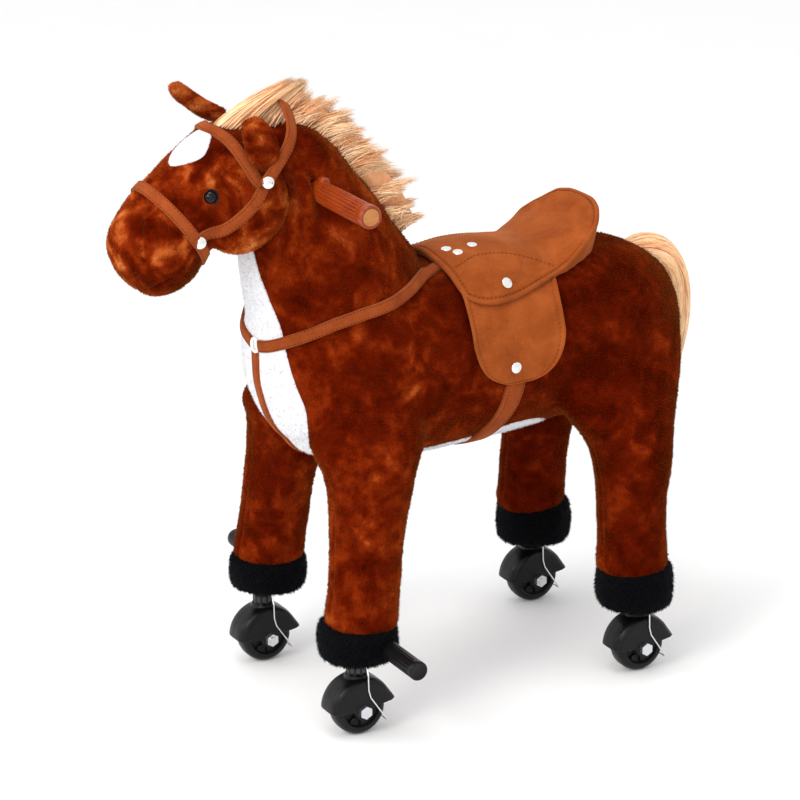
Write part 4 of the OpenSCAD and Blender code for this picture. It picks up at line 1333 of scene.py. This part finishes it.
def make_tail():
    """A full tail that falls close behind the rump, its hairs laid along a solid core."""
    rows = 60
    line = refine([(0, y, z) for y, z in TAIL_LINE], rows)
    half = refine(TAIL_HALF, rows)
    ahead = unit(np.gradient(line, axis=0))
    out = np.cross(ahead, ACROSS)
    core = [ring_about(p, ACROSS, o, w * 0.9, t * 0.9, 24) for p, o, (w, t) in zip(line, out, half)]
    body = new_piece("tail_core", *loft(core), "mane_fur")
    n, steps = TAIL_HAIRS, 8
    start = random.uniform(-0.02, 0.86, n)
    angle = random.uniform(0, TAU, n)
    clump = ((angle / TAU * 18).astype(int) * 5 + (start * 5).astype(int).clip(0, 4))
    length = random.uniform(0.16, 0.34, n)
    drift = random.normal(size=(clump.max() + 1, 2)) * 0.06
    lines = []
    for k in range(steps):
        t = k / (steps - 1)
        at = np.clip((start + length * t), 0, 1.03) * (rows - 1)
        swell = 0.86 + 0.16 * math.sin(math.pi * min(1, t * 1.1)) + drift[clump, 0] * t
        turn = angle + drift[clump, 1] * t * 1.6
        p = catmull(line, at)
        o = catmull(out, at)
        w = catmull(half, at)
        lines.append(p + ACROSS * (w[:, :1] * (swell * np.cos(turn))[:, None])
                     + o * (w[:, 1:] * (swell * np.sin(turn))[:, None]))
    tones = np.clip(0.1 + 0.6 * random.uniform(size=n) + 0.14 * np.sin(clump * 2.1), 0, 0.99)
    pieces = hair_pieces("tail", np.stack(lines, 1), random.uniform(0.5, 0.85, n), tones, "tail")
    return [body] + pieces


BLADE_W = 1.1


def grow_pile(piece, count, length, covers, flow):
    """Tiny leaning blades all over a plush piece, except under what covers it: corners and roots."""
    mesh = piece.data
    mesh.calc_loop_triangles()
    corners = np.empty(len(mesh.loop_triangles) * 3, np.int32)
    mesh.loop_triangles.foreach_get("vertices", corners)
    points, normals = points_of(piece), normals_of(piece)
    a, b, c = points[corners.reshape(-1, 3)].swapaxes(0, 1)
    area = np.linalg.norm(np.cross(b - a, c - a), axis=1)
    pick = random.choice(len(area), count, p=area / area.sum())
    u, v = random.uniform(size=(2, count, 1))
    flip = u + v > 1
    u, v = np.where(flip, 1 - u, u), np.where(flip, 1 - v, v)
    roots = a[pick] + u * (b - a)[pick] + v * (c - a)[pick]
    outs = normals[corners.reshape(-1, 3)[pick, 0]]
    if covers:
        bare = np.array([covers.tree.ray_cast(Vector(p - o), Vector(o), 9)[0] is None
                         for p, o in zip(roots, outs)])
        roots, outs = roots[bare], outs[bare]
    n = len(roots)
    lean = np.asarray(flow) + 0.9 * swirl(roots, 26) + 0.35 * random.normal(size=(n, 3))
    lean = unit(lean - outs * (lean * outs).sum(1, keepdims=True))
    side = np.cross(lean, outs)
    size = length * random.uniform(0.6, 1.15, (n, 1))
    foot = roots - 0.5 * outs
    tips = roots + size * (0.75 * lean + random.uniform(0.35, 0.8, (n, 1)) * outs)
    half = side * BLADE_W / 2
    return np.stack([foot + half, foot - half, foot + lean * BLADE_W * 0.6, tips], 1), roots


def blade_piece(name, verts, material):
    """A piece of pile from the four corners of each blade."""
    faces = np.array([(0, 2, 1), (0, 1, 3), (1, 2, 3), (2, 0, 3)])
    triangles = (faces[None] + 4 * np.arange(len(verts))[:, None, None]).reshape(-1, 3)
    return triangle_piece(name, verts.reshape(-1, 3), triangles, material)


def pile_pieces(name, grown_parts, on_head=False):
    """Brown blades dealt out by the pile's tone, painted rump shade included, one piece to a tone."""
    verts, roots = (np.concatenate(parts) for parts in zip(*grown_parts))
    tone = pile_tone_and_shade(roots, on_head) + 0.07 * random.normal(size=len(roots))
    edges = [(a[0] + b[0]) / 2 for a, b in zip(PILE_TONES, PILE_TONES[1:])]
    choice = np.digitize(tone, edges)
    return [blade_piece(f"{name}_{material[5:]}", verts[choice == k], material)
            for k, (_, material) in enumerate(PILE_TONES)]


# ---- hooves ----

# A hoof cuff: height above its foot as a share, radius; how far it sits above its CAD solid, how far the
# right ones lean with their legs, and the CAD hoof's radius
CUFF = [(0.0, 33), (0.03, 37.5), (0.12, 41), (0.35, 43), (0.62, 43), (0.85, 41.8), (0.96, 39.5), (1.0, 36)]
HOOF_RISE, HOOF_LEAN, HOOF_R = 4.5, (2, 5), 42.5


def make_hoof(name, x, y, low, high):
    rings = [ring_xy(low + (high - low) * share, x, y, radius, radius, 72)
             for share, radius in refine(CUFF, 26)]
    cuff = new_piece(name, *loft(rings), "plush_black")
    apply(cuff, "SUBSURF", levels=1)
    return stuffed(cuff, 3.0)


def make_hooves():
    """Black plush cuffs, one to a foot."""
    pieces = []
    for pair in ("front", "rear"):
        low, high = box_of(pair + "_hooves")
        reach = (high[0] - HOOF_R, (low[1] + high[1]) / 2)
        for side, word in SIDES:
            x, y = side * reach[0], reach[1]
            if side == -1:
                x, y = x + HOOF_LEAN[0], y + HOOF_LEAN[1]
            hoof = make_hoof(f"{pair}_hoof_{word}", x, y, low[2] + HOOF_RISE, high[2] + HOOF_RISE)
            pieces.append((hoof, pair))
            if side == 1:
                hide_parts(pair + "_hooves")
    return pieces


# ---- wheels, hoods, pegs and grips ----

# Half of a wheel's section: across from its middle, radius; the recess lies between hub and rim
WHEEL_HALF = [(13.5, 4.3), (13.5, 9.6), (12.9, 10.4), (9.2, 11.0), (8.4, 12), (8.4, 19), (9.0, 20),
              (12.6, 20.7), (13.3, 21.6), (13.3, 23), (12.5, 25.6), (10.5, 27.9), (7.5, 29.3), (3.7, 29.9)]
HOOD_SECTION = [(18, 5), (18, 30), (17.2, 33.4), (14.8, 35.9), (11.5, 37.1), (6, 37.6), (-6, 37.6),
                (-11.5, 37.1), (-14.8, 35.9), (-17.2, 33.4), (-18, 30), (-18, 5), (-14.7, 5), (-14.7, 29.5),
                (-13.6, 32), (-10.5, 33.6), (0, 34.2), (10.5, 33.6), (13.6, 32), (14.7, 29.5), (14.7, 5)]
STEM_R, STEM_RIBS = 10.2, 10


def make_wheel(name, centre):
    profile = WHEEL_HALF + [(0, 30)] + [(-x, r) for x, r in reversed(WHEEL_HALF)]
    parts = [turned(profile, centre, 96)]
    for side in (-1, 1):
        for k in range(8):
            t = TAU * k / 8
            spoke, way = np.array([0, math.cos(t), math.sin(t)]), np.array([0, -math.sin(t), math.cos(t)])
            rings = []
            for r, w in ((9.5, 1.6), (21, 1.1)):
                p = centre + spoke * r
                rings.append([p + way * a + ACROSS * side * b
                              for a, b in ((-w, 7.5), (w, 7.5), (w * 0.7, 11.6), (-w * 0.7, 11.6))])
            parts.append(loft(rings))
    return new_piece(name, *merged(parts), "wheel_rubber")


def make_hood(centre, top):
    """A half round hood over one wheel, with a stem that goes up into the hoof."""
    rings = []
    for degrees in np.linspace(1.5, 170, 60):
        t = math.radians(degrees)
        flare = 1 + 0.10 * np.clip((degrees - 146) / 24, 0, 1) ** 2
        section = [(x, r * flare if r > 20 else r) for x, r in HOOD_SECTION]
        rings.append([centre + np.array([x, -math.cos(t) * r, math.sin(t) * r]) for x, r in section])
    parts = [loft(rings)]
    for side in (-1, 1):
        disc = [(14.7 * side, 0.1), (14.7 * side, 10.5), (18 * side, 10.5), (18 * side, 0.1)]
        boss = [(17.5 * side, 0.1), (17.5 * side, 8.8), (18.6 * side, 8.2), (18.6 * side, 0.1)]
        parts += [turned(disc, centre, 40), turned(boss, centre, 40)]
    low = centre[2] + 34.5
    stem = [(low, STEM_R + 3.4), (low + 4, STEM_R + 3.0), (low + 6.5, STEM_R), (low + 14, STEM_R),
            (low + 14.5, STEM_R + 1.6), (low + 17, STEM_R + 1.6), (low + 17.5, STEM_R), (top, STEM_R)]
    parts.append(loft([ring_xy(z, centre[0], centre[1], r, r, 48) for z, r in stem]))
    for k in range(STEM_RIBS):
        t = TAU * k / STEM_RIBS
        way = np.array([math.cos(t), math.sin(t), 0])
        across = np.array([-way[1], way[0], 0]) * 1.1
        base = centre * (1, 1, 0) + way * (STEM_R - 1)
        rib = [base - across, base + across, base + across + way * 2.4, base - across + way * 2.4]
        parts.append(loft([[p + UP * z for p in rib] for z in (low + 2, low + 16)]))
    return merged(parts)


def make_feet():
    """Four wheels and the hoods over them."""
    pieces = []
    for end in ("front", "rear"):
        for word in ("left", "right"):
            wheel_node, hood_node = f"{end}_wheel_{word}", f"{end}_hood_{word}"
            centre = mid(wheel_node)
            wheel = make_wheel(wheel_node + "_tyre", centre)
            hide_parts(wheel_node)
            pieces.append((wheel, f"wheel_{end}_{word}", "wheel_rubber"))
            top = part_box(hood_node)[1][2] / MM
            hood = new_piece(hood_node + "_shell", *make_hood(centre, top), "black_plastic")
            voxel_union(hood, 0.9, 3)
            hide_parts(hood_node)
            pieces.append((hood, end + "_frame", "black_plastic"))
    return pieces


def ring_yz(x, centre, radii):
    """A ring about an X axis, with its own radius at each of its points."""
    t = TAU * np.arange(len(radii)) / len(radii)
    return np.stack([np.full(len(radii), x), centre[1] + radii * np.cos(t), centre[2] + radii * np.sin(t)], 1)


def make_pegs():
    """Foot pegs with fine ribs along them and a smooth end."""
    pieces, t = [], TAU * np.arange(192) / 192
    ribs = 0.7 * (0.5 + 0.5 * np.cos(18 * t)) ** 3
    for side, word in SIDES:
        node = "foot_peg_" + word
        low, high = box_of(node)
        centre, half, r = (low + high) / 2, (high[0] - low[0]) / 2, (high[2] - low[2]) / 2
        stations = [(-half, r - 1.6, 0), (-half + 1.2, r, 0), (-half + 9, r, 0), (-half + 10, r - 0.1, 1),
                    (half - 9, r - 0.1, 1), (half - 8, r, 0), (half - 1.4, r, 0), (half - 0.5, r - 0.4, 0),
                    (half, r - 1.4, 0), (half - 0.9, r - 2.4, 0), (half - 1.0, 1, 0)]
        rings = [ring_yz(centre[0] + side * x, centre, radius - ribbed * ribs)
                 for x, radius, ribbed in stations]
        peg = new_piece(node + "_cover", *loft(rings), "black_plastic")
        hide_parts(node)
        pieces.append((peg, "black_plastic"))
    return pieces


def make_grips():
    """Turned grips: a smooth root with a small boss, long flutes, a rounded rim and an inset end disc."""
    pieces, t = [], TAU * np.arange(240) / 240
    flutes = 1.5 * np.abs(np.cos(10 * t)) ** 1.6
    for side, word in SIDES:
        node = "grip_" + word
        low, high = box_of(node)
        centre, r = (low + high) / 2, (high[2] - low[2]) / 2
        inner, outer = sorted((abs(low[0]), abs(high[0])))
        stations = [(inner, r - 2, 0), (inner + 1, r - 0.6, 0), (inner + 12, r - 0.6, 0),
                    (inner + 24, r - 0.6, 0), (inner + 27, r - 0.3, 1), (outer - 17, r - 0.3, 1),
                    (outer - 15, r - 0.8, 0), (outer - 13.6, r - 0.8, 0), (outer - 12.6, r - 0.1, 0),
                    (outer - 6, r, 0), (outer - 2.2, r, 0), (outer - 0.7, r - 0.6, 0), (outer, r - 1.7, 0),
                    (outer - 0.4, r - 2.7, 0), (outer - 2.4, r - 3.1, 0), (outer - 2.6, 1, 0)]
        rings = [ring_yz(side * x, centre, radius - fluted * flutes) for x, radius, fluted in stations]
        boss = [(0, 0.1), (0, 5.6), (1, 6), (12, 6), (13.4, 5), (14, 0.1)]
        boss_at = centre * (0, 1, 1) + (side * inner, 4, 9)
        parts = [loft(rings), turned([(side * x, radius) for x, radius in boss], boss_at, 64)]
        grip = new_piece(node + "_turned", *merged(parts), "handle_plastic")
        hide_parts(node)
        disc_r = r - 3.0
        disc = [(-1.5, 0.05), (-1.5, disc_r), (1.0, disc_r), (1.4, disc_r - 0.5)]
        disc += [(1.15 + 0.25 * math.cos(TAU * k / 4), disc_r * (1 - (k + 2) / 20)) for k in range(17)]
        disc.append((1.3, 0.05))
        disc_at = centre * (0, 1, 1) + (side * (outer - 2.4), 0, 0)
        face = turned([(side * x, radius) for x, radius in disc], disc_at, 72)
        cap = new_piece(f"grip_end_{word}", *face, "end_disc")
        if side == 1:
            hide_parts("grip_end_caps")
        pieces += [(grip, "handle_plastic"), (cap, "end_disc")]
    return pieces


# ---- putting it together ----

def put(piece, body):
    """Rides on one body, or keeps its baked place in the world on no body where body is 'both'."""
    if body == "both":
        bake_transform(piece)
    else:
        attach(piece, body)


set_camera()
set_stage()
paint_cad_nodes()

body = make_body()
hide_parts("chest", "neck", "barrel", "front_leg_left", "front_leg_right", "rear_leg_left",
            "rear_leg_right")
head = make_head()
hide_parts("head")
body_skin, head_skin = Skin(body), Skin(head)
ears = make_ears()
eyes = make_eyes(head_skin)
chest = patch("chest_patch", chest_grid(body_skin), PANEL_LIFT)
belly = patch("belly_patch", belly_grid(body_skin), PANEL_LIFT)
blaze = patch("blaze_plush", blaze_grid(head_skin), 1.8)
for panel, node in ((chest, "chest_panel"), (belly, "belly_panel"), (blaze, "blaze_patch")):
    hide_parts(node)
bridle = make_bridle(head_skin)
harness = make_harness(body_skin)
saddle = make_saddle(body_skin)
hooves = make_hooves()
mane, tail = make_mane(), make_tail()
grips, pegs, feet = make_grips(), make_pegs(), make_feet()

for piece, slot in ears + eyes + bridle + grips + pegs + [(head, "plush_brown"), (blaze, "plush_white")]:
    put(piece, "front_frame")
for piece, slot in harness + [(body, "plush_brown"), (chest, "plush_white"), (belly, "plush_white")]:
    put(piece, "both")
for piece, slot in saddle:
    put(piece, "rear_frame")
for piece, end in hooves:
    put(piece, end + "_frame")
for piece, frame_body, slot in feet:
    put(piece, frame_body)
for piece in mane:
    put(piece, "front_frame")
for piece in tail:
    put(piece, "rear_frame")

covers = Skin(*[p for p, _ in saddle + harness + bridle + hooves + eyes], chest, belly, blaze)
# The ways in which the pile leans
DOWN_AND_BACK, UP_THE_FACE, DOWN_THE_EAR = (0, 0.5, -1.0), (0, 0.9, -0.5), (0, -0.2, -1)
body_blades = grow_pile(body, 110000, 3.0, covers, DOWN_AND_BACK)
head_blades = grow_pile(head, 24000, 2.4, covers, UP_THE_FACE)
ear_blades = [grow_pile(p, 3500, 2.4, None, DOWN_THE_EAR) for p, _ in ears[:2]]
for piece in pile_pieces("body_pile", [body_blades]):
    put(piece, "both")
for piece in pile_pieces("head_pile", [head_blades] + ear_blades, True):
    put(piece, "front_frame")
for name, panel, count, length, flow, frame_body in (
        ("chest_pile", chest, 9000, 2.4, DOWN_AND_BACK, "both"),
        ("belly_pile", belly, 7000, 2.4, DOWN_AND_BACK, "both"),
        ("blaze_pile", blaze, 1800, 2.0, UP_THE_FACE, "front_frame")):
    blades, _ = grow_pile(panel, count, length, None, flow)
    put(blade_piece(name, blades, "pile_white"), frame_body)
for piece, end in hooves:
    blades, _ = grow_pile(piece, 7000, 4.4, None, (0, 0, -1.6))
    put(blade_piece(piece.name + "_pile", blades, "pile_black"), end + "_frame")
